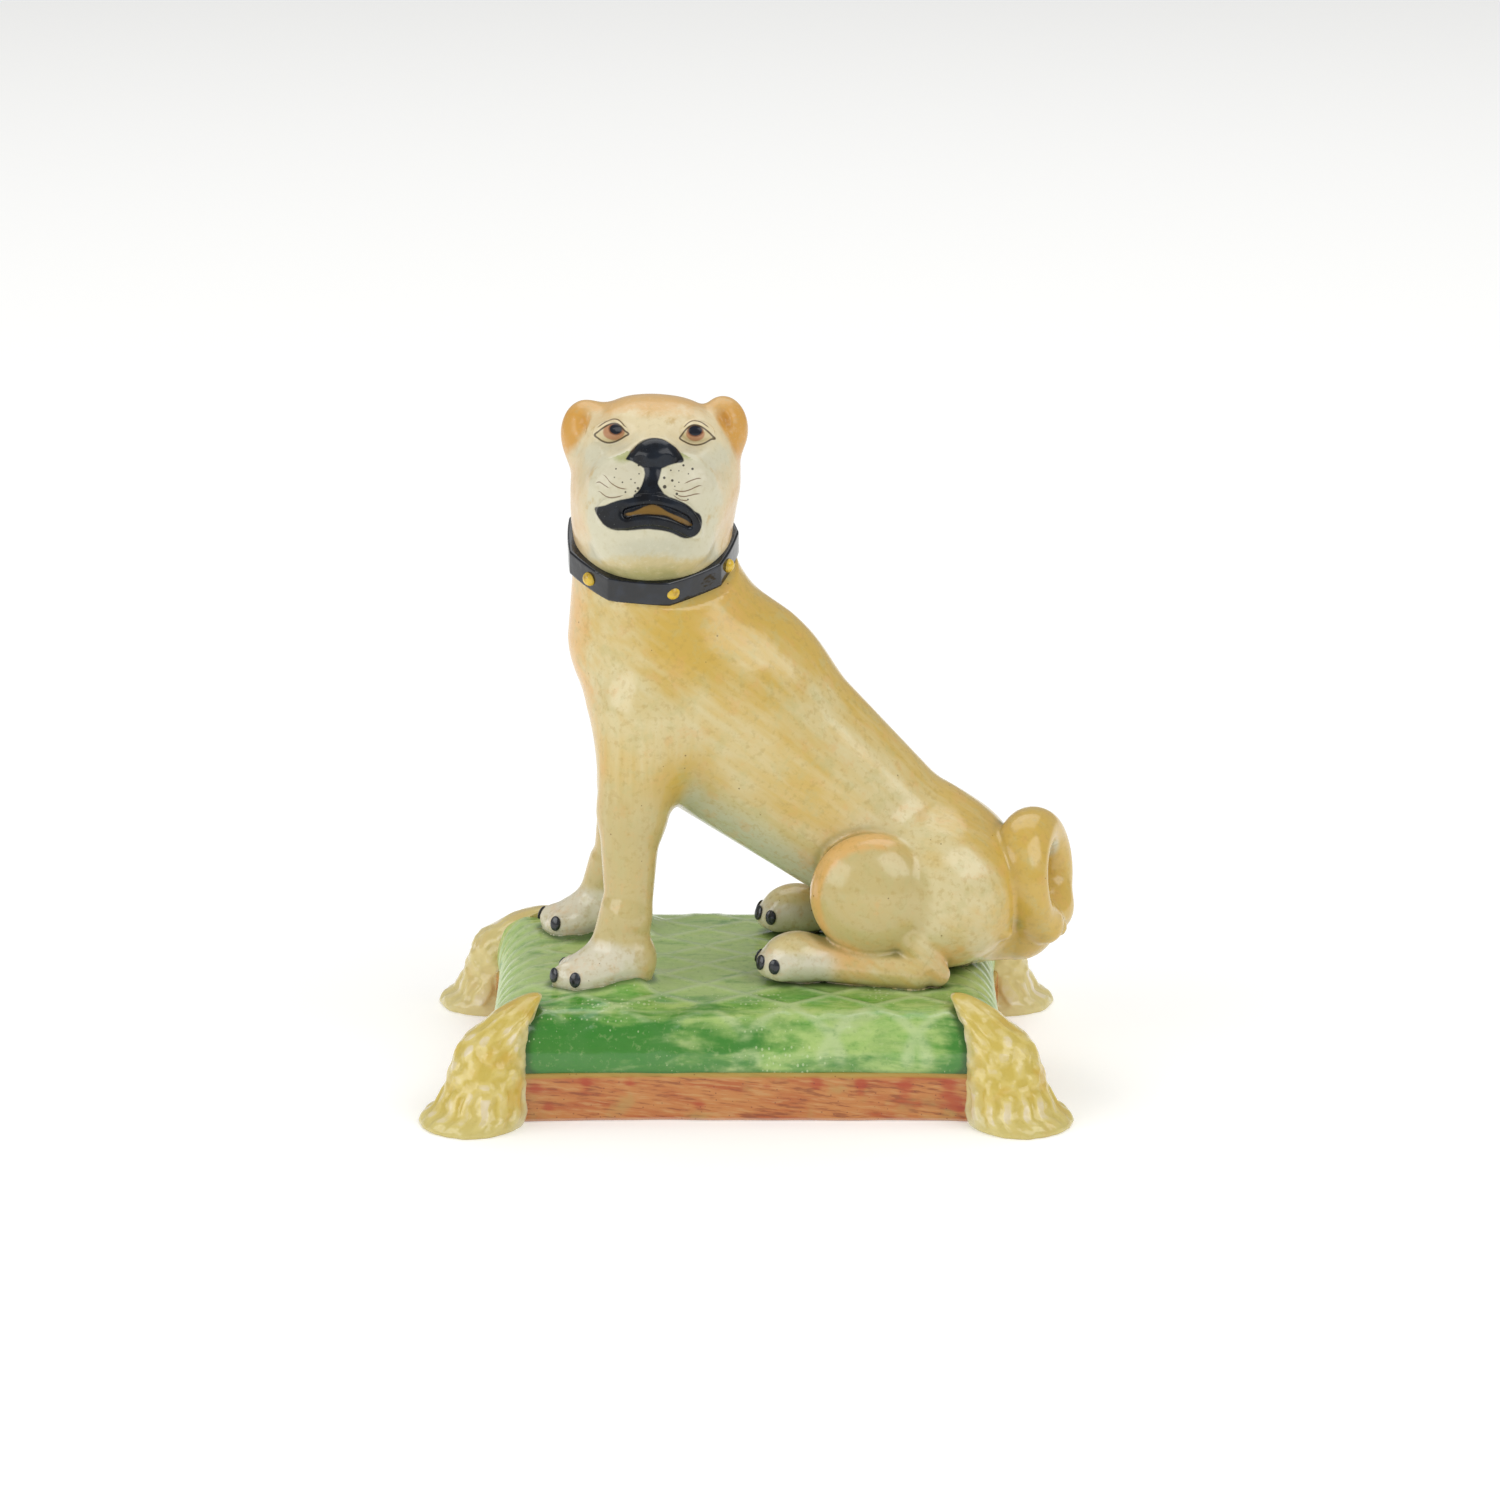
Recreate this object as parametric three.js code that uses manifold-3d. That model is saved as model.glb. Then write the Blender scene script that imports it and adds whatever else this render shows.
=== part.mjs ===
// A pug seated on a tasselled cushion, moulded, fired and glazed as one piece of pottery.
// Millimetres, +Z up. The dog faces -X and turns its head to -Y. The origin is on the
// underside, below the middle of the figure's box.

import * as THREE from "three";
import Module from "manifold-3d";

// Cushion: a band below, a pillow above, and sides that curve in between the corners
const cushion = { middleX: -0.6, halfWidth: 41, halfDepth: 30.2, bandTop: 8, top: 17.1 };
const bandEdge = 1;
const pillowEdge = { radius: 7, inset: 0.5 };
const crown = { rise: 0.6, halfWidth: 36, halfDepth: 27 };
const flare = { ends: 3.2, endReach: 29, sides: 1.6, sideReach: 40 };

// The pillow rises to a low mound under each front heel, longer towards the toes
const heelMound = { x: -18.8, y: 14.6, rise: 3.2, ahead: 8, behind: 2.7, aside: 5 };

// Tassels: rings from the foot up to the knot on the cushion's corner, leaning inwards
const tasselRings = [
  { z: -3.0, radius: 8.45, out: 43.5, front: 30.3 },
  { z: 0.0, radius: 8.45, out: 43.5, front: 30.3 },
  { z: 1.2, radius: 8.1, out: 43.1, front: 30.1 },
  { z: 2.8, radius: 7.2, out: 42.1, front: 29.8 },
  { z: 6.0, radius: 6.5, out: 41.3, front: 29.2 },
  { z: 9.0, radius: 6.0, out: 40.9, front: 28.8 },
  { z: 12.7, radius: 5.2, out: 40.0, front: 28.1 },
  { z: 15.5, radius: 3.9, out: 37.9, front: 27.0 },
  { z: 17.5, radius: 2.9, out: 35.9, front: 25.8 },
  { z: 19.2, radius: 1.4, out: 33.6, front: 24.2 },
];
const fringe = { flutes: 16, depth: 0.3, top: 5, fade: 2 };
const netting = { knots: 8, depth: 0.32, pitch: 4.4, top: 17, fade: 3 };
const tasselSlope = 0.75;

// The dog's middle planes, in Y: the trunk's and the hind legs'
const middle = 1.0;
const hindMiddle = 0.3;

// How far the far front leg stands forward of the near one, and the height it starts from
const stride = { skew: 0.096, from: 50, over: 20 };

// Trunk: each form is blended into the ones before it with a fillet of its own
const trunkForms = [
  { name: "chest", at: [-11.0, middle, 67.9], size: [14.1, 13.3, 17.1], lean: -12 },
  {
    name: "neck",
    from: [-15.5, 0.5, 89.0],
    to: [-14.9, middle, 72.0],
    radii: [12.4, 14.3],
    flat: 0.94,
    blend: 5,
  },
  {
    name: "barrel",
    from: [-5.4, middle, 60.2],
    to: [22.6, middle, 36.8],
    radii: [17.9, 13.2],
    flat: 0.82,
    blend: 5,
  },
  { name: "withers", at: [-0.9, middle, 63.0], size: [13.1, 11.5, 13.1], blend: 4 },
  { name: "rump", at: [32.7, middle, 30.4], size: [12.3, 12.0, 14.2], lean: -25, blend: 5 },
];

// Legs: Y is measured outwards from the dog's middle plane
const foreForms = [
  { name: "upper arm", from: [-16.5, 7.8, 60.0], to: [-18.9, 10.8, 45.0], radii: [8.45, 5.4], blend: 5 },
  { name: "forearm", from: [-19.4, 10.8, 45.0], to: [-20.9, 13.4, 28.0], radii: [5.0, 3.6], blend: 2 },
  { name: "instep", from: [-21.4, 13.4, 28.5], to: [-26.6, 14.2, 20.0], radii: [4.25, 1.3], blend: 1 },
  { name: "paw", at: [-26.4, 14.4, 19.8], size: [6.9, 4.9, 3.6], lean: -24, blend: 2.5 },
  { name: "wrist", at: [-20.6, 13.8, 21.5], size: [4.3, 4.3, 5.2], blend: 2 },
];
const hindForms = [
  { name: "hip", at: [30.0, 8.9, 30.5], size: [12.5, 8.7, 11.6], lean: -10, blend: 5 },
  { name: "thigh", at: [19.5, 12.5, 32.0], size: [9.9, 6.9, 10.1], lean: -14, blend: 0.9 },
  { name: "foot", from: [8.0, 12.8, 21.6], to: [26.5, 15.0, 19.8], radii: [3.5, 2.9], blend: 0.8 },
  { name: "hock", from: [26.0, 15.2, 25.0], to: [30.1, 15.0, 19.4], radii: [2.3, 2.0], blend: 1.2 },
  { name: "toes", at: [7.4, 12.8, 21.7], size: [5.4, 4.4, 4.0], blend: 1.5 },
];

// Claws: ovals set round the front of each paw, by their angle from straight ahead
const clawSize = [1.0, 1.1, 1.3];
const foreClaws = { angles: [61, 22, -16, -46], at: [-26.2, 14.4, 18.9], reach: [7.0, 4.7] };
const hindClaws = { angles: [54, 20, -14, -48], at: [7.4, 12.8, 20.6], reach: [5.3, 4.1] };

// Tail: a loop standing against the rump, with its root below and its tip tucked under. Its
// section is wider than it is thick, and widest on the near side.
const loop = { at: [46.3, -0.8, 32.3], turn: -22, slant: 0.1, radius: 7.2, thickness: 3.45 };
const loopWidth = { middle: 1.2, gain: 0.14 };
const loopFloor = { radius: 6.5, offset: 2.0, halfThickness: 1.2 };
const tailRoot = {
  points: [[36.0, 1.0, 25.0], [43.5, 1.0, 23.6], [48.5, 2.5, 25.0]],
  radii: [8.5, 6.6, 4.0],
};
const tailTip = {
  points: [[45.2, -5.2, 27.0], [47.6, -4.2, 24.4], [49.9, -3.0, 23.6]],
  radii: [3.6, 3.2, 1.5],
};
const rumpBoss = { name: "boss", at: [40.4, -10.2, 25.0], size: [1.8, 1.5, 1.2] };

// Head: U to the dog's left ear, V up the face, W out of it
const head = { at: [-15.2, -1.0, 95.0], pitch: 15 };
const skull = { at: [0.3, 3.4, -1.0], half: [13.4, 11.45, 11.8], radius: 10.5 };
const headForms = [
  { name: "jaw", at: [-1.0, -3.5, 0], size: [11.1, 11.0, 11.6], blend: 4 },
  { name: "crown", at: [-0.6, 8.9, -1.5], size: [9.2, 6.6, 8.0], blend: 4 },
  { name: "muzzle", at: [0, -1.6, 8.2], size: [9.8, 8.2, 5.6], blend: 4 },
  { name: "chin", at: [0, -8.6, 7.0], size: [8.2, 4.2, 4.8], blend: 3 },
];
const faceForms = [
  { name: "whisker pad", at: [4.9, 1.2, 10.8], size: [4.6, 3.5, 3.0], blend: 2.4 },
  { name: "socket", at: [6.8, 9.3, 10.3], size: [3.9, 2.6, 2.8], blend: 2, cut: true },
  { name: "eyeball", at: [6.7, 9.3, 6.9], size: [2.9, 1.9, 2.2], blend: 0.4 },
];
const nose = { at: [0.1, 4.2, 12.0], size: [4.2, 4.0, 3.0] };
const noseFoot = 3.5;
const philtrum = { name: "philtrum", at: [-0.2, 1.6, 12.1], size: [1.7, 3.8, 2.3], blend: 1.4 };
const nostril = { name: "nostril", at: [2.5, 4.5, 15.0], size: [1.0, 0.7, 0.7], blend: 0.8, cut: true };
const lips = { middle: 0.4, drop: 3.2, slope: 0.13, bend: 0.05, halfLength: 4.6 };
const lipRim = { reach: 2.3, height: 0.5, blend: 0.9 };
const mouth = { reach: 0.75, depth: 0.75, blend: 0.7 };
const ears = [
  { side: -1, out: 10.9, up: 9.9, blend: 2.6 },
  { side: 1, out: 10.9, up: 10.5, blend: 1.4 },
];
const earSize = [4.0, 5.3, 3.9];
const earHollow = { inset: 0.2, rise: 0.4, front: 4.0, size: [1.6, 3.4, 2.4], lip: 0.8 };
const earFront = -0.5;
const earTwist = 14;

// Collar: a facetted band dipping to the front, with a ring of studs
const collar = { at: [-15.7, 0.8, 86.6], pitch: -21, radius: 12.6, squash: 0.96 };
const collarBand = { halfThickness: 1.0, halfHeight: 2.0, round: 0.4 };
const facets = { count: 9, depth: 0.22, phase: 0.6 };
const studs = { angles: [-46, 15, 64.5, 126, 187, 248], radius: 1.2, out: 13.5, front: 13.9 };

// Fillets where one part of the figure runs into the next
const fillets = {
  bandToPillow: 0.8,
  tassels: 1.2,
  claws: 0.3,
  tailRoot: 2,
  tailTip: 0.8,
  tailFloor: 0.6,
  boss: 1,
  tail: 0.9,
  nose: 0.7,
  noseLip: 1.6,
  head: 2.5,
  collar: 0.3,
  studs: 0.2,
  base: 0.8,
};

// Heights and places past which a part of the dog can be left out of the sum
const extents = { dogAbove: 14, clawsBelow: 25, headAbove: 74, tailBeyond: 25 };

// Surface: the grid that it is found on, finer about the head, and the triangles left once
// it is thinned. Each range runs from its low end through the fine stretch to its high end.
const spacing = { coarse: 1.3, fine: 0.75 };
const gridRanges = [[-56, -30.5, 0.5, 57], [-42, -18, 12, 42], [-3, 76, 112, 115]];
const surfaceTriangles = 9900;
const faceWeight = { above: 88, gain: 8 };
const tasselWeight = { below: 19, beyond: 34, gain: 1.5 };
const thinning = { turnLimit: 0.3, spanCost: 1e-4, flatness: 1e-5 };
const floorBlock = { width: 200, depth: 20 };

const radians = (degrees) => (degrees * Math.PI) / 180;
const clamp = (value, low, high) => Math.min(Math.max(value, low), high);

// Joins two solids' distances with a fillet, and cuts one out of the other with a rounded lip
function join(a, b, fillet) {
  const overlap = Math.max(fillet - Math.abs(a - b), 0);
  return Math.min(a, b) - (overlap * overlap) / (4 * fillet);
}
const cut = (a, b, fillet) => -join(-a, b, fillet);

// Distance to an ellipsoid, turned about its second axis
function egg([ax, ay, az], [rx, ry, rz], lean = 0) {
  const c = Math.cos(radians(lean));
  const s = Math.sin(radians(lean));
  return (x, y, z) => {
    const dx = x - ax;
    const dz = z - az;
    const u = (dx * c - dz * s) / rx;
    const v = (y - ay) / ry;
    const w = (dx * s + dz * c) / rz;
    const near = Math.hypot(u, v, w);
    const slope = Math.max(Math.hypot(u / rx, v / ry, w / rz), 1e-6);
    return (near * (near - 1)) / slope;
  };
}

// Distance to a tapered limb with round ends; flat narrows it in Y
function limb([ax, ay, az], [bx, by, bz], [ra, rb], flat = 1) {
  const [ux, uy, uz] = [bx - ax, by - ay, bz - az];
  const lengthSquared = ux * ux + uy * uy + uz * uz;
  return (x, y, z) => {
    const along = ((x - ax) * ux + (y - ay) * uy + (z - az) * uz) / lengthSquared;
    const t = clamp(along, 0, 1);
    const away = Math.hypot(x - ax - t * ux, (y - ay - t * uy) / flat, z - az - t * uz);
    return (away - (ra + (rb - ra) * t)) * flat;
  };
}

// Distance to a run of limbs through a few points
function strand({ points, radii }) {
  const limbs = points.slice(1).map((end, i) => limb(points[i], end, [radii[i], radii[i + 1]]));
  return (x, y, z) => Math.min(...limbs.map((part) => part(x, y, z)));
}

// Blends a list of forms, in order, into what is already there
function sculpt(forms) {
  const shapeOf = ({ at, size, lean, from, to, radii, flat }) =>
    size ? egg(at, size, lean) : limb(from, to, radii, flat);
  const parts = forms.map((form) => ({
    shape: shapeOf(form),
    blend: form.blend ?? 1,
    apply: form.cut ? cut : join,
  }));
  return (x, y, z, start = Infinity) => {
    let d = start;
    for (const { shape, blend, apply } of parts) d = apply(d, shape(x, y, z), blend);
    return d;
  };
}

// A frame facing the viewer, tipped back by its pitch
function tipped([ax, ay, az], pitch) {
  const c = Math.cos(radians(pitch));
  const s = Math.sin(radians(pitch));
  return (x, y, z) => [x - ax, (y - ay) * s + (z - az) * c, -(y - ay) * c + (z - az) * s];
}

// Rounded block
function loaf({ at, half, radius }) {
  return (x, y, z) => {
    const q = [x, y, z].map((value, i) => Math.abs(value - at[i]) - half[i] + radius);
    const outside = Math.hypot(Math.max(q[0], 0), Math.max(q[1], 0), Math.max(q[2], 0));
    return outside + Math.min(Math.max(...q), 0) - radius;
  };
}

function makeClaws({ angles, at, reach }) {
  const claws = angles.map((degrees) => {
    const a = radians(degrees);
    return egg([at[0] - reach[0] * Math.cos(a), at[1] + reach[1] * Math.sin(a), at[2]], clawSize);
  });
  return (x, y, z) => Math.min(...claws.map((claw) => claw(x, y, z)));
}

function makeBody() {
  const trunk = sculpt(trunkForms);
  const fore = sculpt(foreForms);
  const hind = sculpt(hindForms);
  const frontClaws = makeClaws(foreClaws);
  const backClaws = makeClaws(hindClaws);
  return (x, y, z) => {
    const lower = clamp((stride.from - z) / stride.over, 0, 1);
    const foreX = x + stride.skew * (y - middle) * lower;
    const foreY = Math.abs(y - middle);
    const hindY = Math.abs(y - hindMiddle);
    let d = trunk(x, y, z);
    d = fore(foreX, foreY, z, d);
    d = hind(x, hindY, z, d);
    if (z > extents.clawsBelow) return d;
    return join(d, Math.min(frontClaws(foreX, foreY, z), backClaws(x, hindY, z)), fillets.claws);
  };
}

function makeTail() {
  const c = Math.cos(radians(loop.turn));
  const s = Math.sin(radians(loop.turn));
  const root = strand(tailRoot);
  const tip = strand(tailTip);
  const boss = egg(rumpBoss.at, rumpBoss.size);
  return (x, y, z, body) => {
    const [dy, dz] = [y - loop.at[1], z - loop.at[2]];
    const dx = x - loop.at[0] + loop.slant * dz;
    const along = dx * c + dy * s;
    const aside = dy * c - dx * s;
    const around = Math.hypot(aside, dz);
    const broad = loopWidth.middle - loopWidth.gain * clamp(aside / loop.radius, -1, 1);
    const ring = Math.hypot(around - loop.radius, along / broad) - loop.thickness;
    const disc = Math.abs(along + loopFloor.offset) - loopFloor.halfThickness;
    const floor = Math.max(around - loopFloor.radius, disc);
    let tail = join(ring, root(x, y, z), fillets.tailRoot);
    tail = join(tail, tip(x, y, z), fillets.tailTip);
    tail = join(tail, floor, fillets.tailFloor);
    return join(join(body, boss(x, y, z), fillets.boss), tail, fillets.tail);
  };
}

function makeEar({ side, out, up }) {
  const flap = egg([side * out, up, earFront], earSize, earTwist * side);
  const hollowAt = [side * (out - earHollow.inset), up + earHollow.rise, earHollow.front];
  const hollow = egg(hollowAt, earHollow.size, earTwist * side);
  return (u, v, w) => cut(flap(u, v, w), hollow(u, v, w), earHollow.lip);
}

function makeHead() {
  const place = tipped(head.at, head.pitch);
  const block = loaf(skull);
  const forms = sculpt(headForms);
  const face = sculpt(faceForms);
  const noseBall = egg(nose.at, nose.size);
  const ridge = sculpt([philtrum]);
  const nostrils = sculpt([nostril]);
  const flaps = ears.map((ear) => ({ shape: makeEar(ear), blend: ear.blend }));
  return (x, y, z) => {
    const [u, v, w] = place(x, y, z);
    const side = Math.abs(u);
    let d = forms(u, v, w, block(u, v, w));
    d = face(side, v, w, d);
    d = join(d, cut(noseBall(u, v, w), v - noseFoot, fillets.noseLip), fillets.nose);
    d = nostrils(side, v, w, ridge(u, v, w, d));
    const across = u - lips.middle;
    const line = -lips.drop - lips.slope * across - lips.bend * across * across;
    const fromLine = Math.hypot(v - line, Math.max(Math.abs(across) - lips.halfLength, 0));
    d = join(d, Math.max(fromLine - lipRim.reach, d - lipRim.height), lipRim.blend);
    d = cut(d, Math.max(fromLine - mouth.reach, -d - mouth.depth), mouth.blend);
    for (const { shape, blend } of flaps) d = join(d, shape(u, v, w), blend);
    return d;
  };
}

function makeCollar() {
  const place = tipped(collar.at, collar.pitch);
  const balls = studs.angles.map((degrees) => {
    const a = radians(degrees);
    const radius = studs.radius;
    return egg([studs.out * Math.sin(a), 0, studs.front * Math.cos(a)], [radius, radius, radius]);
  });
  return (x, y, z, dog) => {
    const [u, v, w] = place(x, y, z);
    const angle = Math.atan2(u, w);
    const facet = facets.depth * Math.cos(facets.count * angle + facets.phase);
    const wall = Math.abs(Math.hypot(u, w * collar.squash) - collar.radius - facet);
    const sideways = wall - collarBand.halfThickness + collarBand.round;
    const upright = Math.abs(v) - collarBand.halfHeight + collarBand.round;
    const corner = Math.hypot(Math.max(sideways, 0), Math.max(upright, 0));
    const band = corner + Math.min(Math.max(sideways, upright), 0) - collarBand.round;
    const beads = Math.min(...balls.map((ball) => ball(u, v, w)));
    return join(join(dog, band, fillets.collar), beads, fillets.studs);
  };
}

// Distance to a slab whose plan is widened towards its corners, with its top edge rolled over
function slab(ex, ey, ez, radius) {
  const q = [ex + radius, ey + radius, ez];
  const outside = Math.hypot(Math.max(q[0], 0), Math.max(q[1], 0), Math.max(q[2], 0));
  return outside + Math.min(Math.max(...q), 0) - radius;
}

function cushionDistance(x, y, z) {
  const across = Math.abs(x - cushion.middleX);
  const deep = Math.abs(y);
  const ex = across - cushion.halfWidth - flare.ends * Math.min(deep / flare.endReach, 1) ** 4;
  const ey = deep - cushion.halfDepth - flare.sides * Math.min(across / flare.sideReach, 1) ** 6;
  const band = Math.max(slab(ex, ey, -Infinity, bandEdge), z - cushion.bandTop);
  const swellX = Math.max(1 - (across / crown.halfWidth) ** 2, 0);
  const swellY = Math.max(1 - (deep / crown.halfDepth) ** 2, 0);
  const forward = heelMound.x - x;
  const length = forward > 0 ? heelMound.ahead : heelMound.behind;
  const aside = (Math.abs(y - middle) - heelMound.y) / heelMound.aside;
  const mound = heelMound.rise * Math.exp(-((forward / length) ** 2) - aside ** 2);
  const rollZ = z - (cushion.top + crown.rise * swellX * swellY + mound - pillowEdge.radius);
  const pillow = slab(ex + pillowEdge.inset, ey + pillowEdge.inset, rollZ, pillowEdge.radius);
  return join(band, pillow, fillets.bandToPillow);
}

// One corner's tassel, mirrored to all four: a netted head over a fluted skirt
function tasselDistance(x, y, z) {
  const last = tasselRings.length - 1;
  let i = 0;
  while (i < last - 1 && z > tasselRings[i + 1].z) i += 1;
  const [low, high] = [tasselRings[i], tasselRings[i + 1]];
  const t = clamp((z - low.z) / (high.z - low.z), 0, 1);
  const at = (key) => low[key] + (high[key] - low[key]) * t;
  const dx = Math.abs(x - cushion.middleX) - at("out");
  const dy = Math.abs(y) - at("front");
  const angle = Math.atan2(dy, dx);
  const skirt = clamp((fringe.top - z) / fringe.fade, 0, 1);
  const aboveSkirt = clamp((z - fringe.top) / fringe.fade, 0, 1);
  const belowKnot = clamp((netting.top - z) / netting.fade, 0, 1);
  const flutes = fringe.depth * Math.cos(fringe.flutes * angle) * skirt;
  const turn = netting.knots * angle;
  const rise = (Math.PI * (z - fringe.top)) / netting.pitch;
  const net = netting.depth * Math.cos(turn + rise) * Math.cos(turn - rise) * aboveSkirt * belowKnot;
  const side = tasselSlope * (Math.hypot(dx, dy) - at("radius") - flutes - net);
  return Math.max(side, z - tasselRings[last].z);
}

const body = makeBody();
const addTail = makeTail();
const headDistance = makeHead();
const addCollar = makeCollar();

// Distance to the whole figure; it runs on below the floor, where the base is cut flat later
function figureDistance(x, y, z) {
  const base = join(cushionDistance(x, y, z), tasselDistance(x, y, z), fillets.tassels);
  if (z < extents.dogAbove) return base;
  let dog = body(x, y, z);
  if (x > extents.tailBeyond) dog = addTail(x, y, z, dog);
  if (z > extents.headAbove) {
    dog = join(dog, headDistance(x, y, z), fillets.head);
    dog = addCollar(x, y, z, dog);
  }
  return join(dog, base, fillets.base);
}

// Six tetrahedra fill a grid cell, one for each order of stepping along X, Y and Z from its
// low corner to its high one. A corner's number has one bit for each step taken.
const stepOrders = [[1, 2, 4], [2, 4, 1], [4, 1, 2], [2, 1, 4], [1, 4, 2], [4, 2, 1]];
const tetrahedra = stepOrders.map(([a, b], i) => ({ corners: [0, a, a + b, 7], mirrored: i > 2 }));

// The cut through one tetrahedron, as triangles of [inside, outside] corner pairs facing out
function cutThrough({ corners, mirrored }, isInside) {
  const inner = [0, 1, 2, 3].filter((n) => isInside(corners[n]));
  const outer = [0, 1, 2, 3].filter((n) => !isInside(corners[n]));
  if (inner.length === 0 || outer.length === 0) return [];
  const order = [...inner, ...outer];
  const swaps = order.flatMap((m, i) => order.slice(i + 1).filter((n) => n < m)).length;
  const pair = (m, n) => [corners[inner[m]], corners[outer[n]]];
  let rim = [pair(0, 0), pair(0, 1), pair(0, 2)];
  if (inner.length === 2) rim = [pair(0, 0), pair(0, 1), pair(1, 1), pair(1, 0)];
  if (inner.length === 3) rim = [pair(0, 0), pair(1, 0), pair(2, 0)];
  if ((swaps % 2 === 1) !== mirrored) rim.reverse();
  return rim.slice(2).map((last, i) => [rim[0], rim[i + 1], last]);
}

// The places of the grid's planes along one axis
function gridPlanes([low, fineLow, fineHigh, high]) {
  const run = (from, to, step) => {
    const count = Math.round((to - from) / step);
    return Array.from({ length: count }, (_, i) => from + ((to - from) * i) / count);
  };
  const before = run(low, fineLow, spacing.coarse);
  const between = run(fineLow, fineHigh, spacing.fine);
  const after = run(fineHigh, high, spacing.coarse);
  return [...before, ...between, ...after, high];
}

// Reads the distance on the grid and joins up the cuts through all its tetrahedra
function findSurface() {
  const planes = gridRanges.map(gridPlanes);
  const size = planes.map((list) => list.length);
  const strides = [1, size[0], size[0] * size[1]];
  const values = new Float32Array(size[0] * size[1] * size[2]).fill(1);
  const place = (index) => [
    planes[0][index % size[0]],
    planes[1][Math.floor(index / strides[1]) % size[1]],
    planes[2][Math.floor(index / strides[2])],
  ];
  for (let index = strides[2]; index < values.length - strides[2]; index += 1) {
    values[index] = figureDistance(...place(index));
  }
  const offsets = [0, 1, 2, 3, 4, 5, 6, 7].map(
    (corner) => (corner & 1) + ((corner >> 1) & 1) * strides[1] + ((corner >> 2) & 1) * strides[2],
  );

  const points = [];
  const found = new Map();
  const crossing = (cell, [inside, outside]) => {
    const [a, b] = [cell + offsets[inside], cell + offsets[outside]];
    const key = Math.min(a, b) * 8 + (inside ^ outside);
    if (!found.has(key)) {
      const t = clamp(values[a] / (values[a] - values[b]), 0.04, 0.96);
      const [from, to] = [place(a), place(b)];
      found.set(key, points.length);
      points.push(from.map((value, axis) => value + (to[axis] - value) * t));
    }
    return found.get(key);
  };
  const triangles = [];
  for (let cell = 0; cell < values.length - offsets[7]; cell += 1) {
    const isInside = (corner) => values[cell + offsets[corner]] < 0;
    const first = isInside(0);
    if (![1, 2, 3, 4, 5, 6, 7].some((corner) => isInside(corner) !== first)) continue;
    for (const tetrahedron of tetrahedra) {
      for (const rim of cutThrough(tetrahedron, isInside)) {
        triangles.push(rim.map((pair) => crossing(cell, pair)));
      }
    }
  }
  return { points, triangles };
}

// A heap that gives back its cheapest entry first
class Heap {
  entries = [];

  push(entry) {
    const list = this.entries;
    let i = list.push(entry) - 1;
    while (i > 0) {
      const parent = (i - 1) >> 1;
      if (list[parent].cost <= list[i].cost) break;
      [list[parent], list[i]] = [list[i], list[parent]];
      i = parent;
    }
  }

  pop() {
    const list = this.entries;
    const first = list[0];
    const last = list.pop();
    if (list.length === 0) return first;
    list[0] = last;
    let i = 0;
    while (2 * i + 1 < list.length) {
      let child = 2 * i + 1;
      if (child + 1 < list.length && list[child + 1].cost < list[child].cost) child += 1;
      if (list[i].cost <= list[child].cost) break;
      [list[child], list[i]] = [list[i], list[child]];
      i = child;
    }
    return first;
  }
}

// Squared distances to planes add up as a symmetric 4x4 matrix, kept as its ten values
function planeSum(a, b, c, d, weight) {
  return [a * a, a * b, a * c, a * d, b * b, b * c, b * d, c * c, c * d, d * d].map((v) => v * weight);
}

function planeError(q, [x, y, z]) {
  const linear = q[3] * x + q[6] * y + q[8] * z;
  const square = q[0] * x * x + q[4] * y * y + q[7] * z * z;
  return square + 2 * (q[1] * x * y + q[2] * x * z + q[5] * y * z + linear) + q[9];
}

// The point nearest to all the planes of a sum, or nothing where they leave it open
function nearestPoint(q) {
  const m = new THREE.Matrix3().set(q[0], q[1], q[2], q[1], q[4], q[5], q[2], q[5], q[7]);
  const size = q[0] + q[4] + q[7];
  if (Math.abs(m.determinant()) < thinning.flatness * size ** 3) return null;
  return new THREE.Vector3(-q[3], -q[6], -q[8]).applyMatrix3(m.invert()).toArray();
}

function triangleNormal(a, b, c) {
  const [ux, uy, uz] = [b[0] - a[0], b[1] - a[1], b[2] - a[2]];
  const [vx, vy, vz] = [c[0] - a[0], c[1] - a[1], c[2] - a[2]];
  return [uy * vz - uz * vy, uz * vx - ux * vz, ux * vy - uy * vx];
}

// Shape counts for more on the face and the tassels than on the plain back
function importance([x, y, z]) {
  if (z > faceWeight.above) return faceWeight.gain;
  return z < tasselWeight.below && Math.abs(x) > tasselWeight.beyond ? tasselWeight.gain : 1;
}

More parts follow.
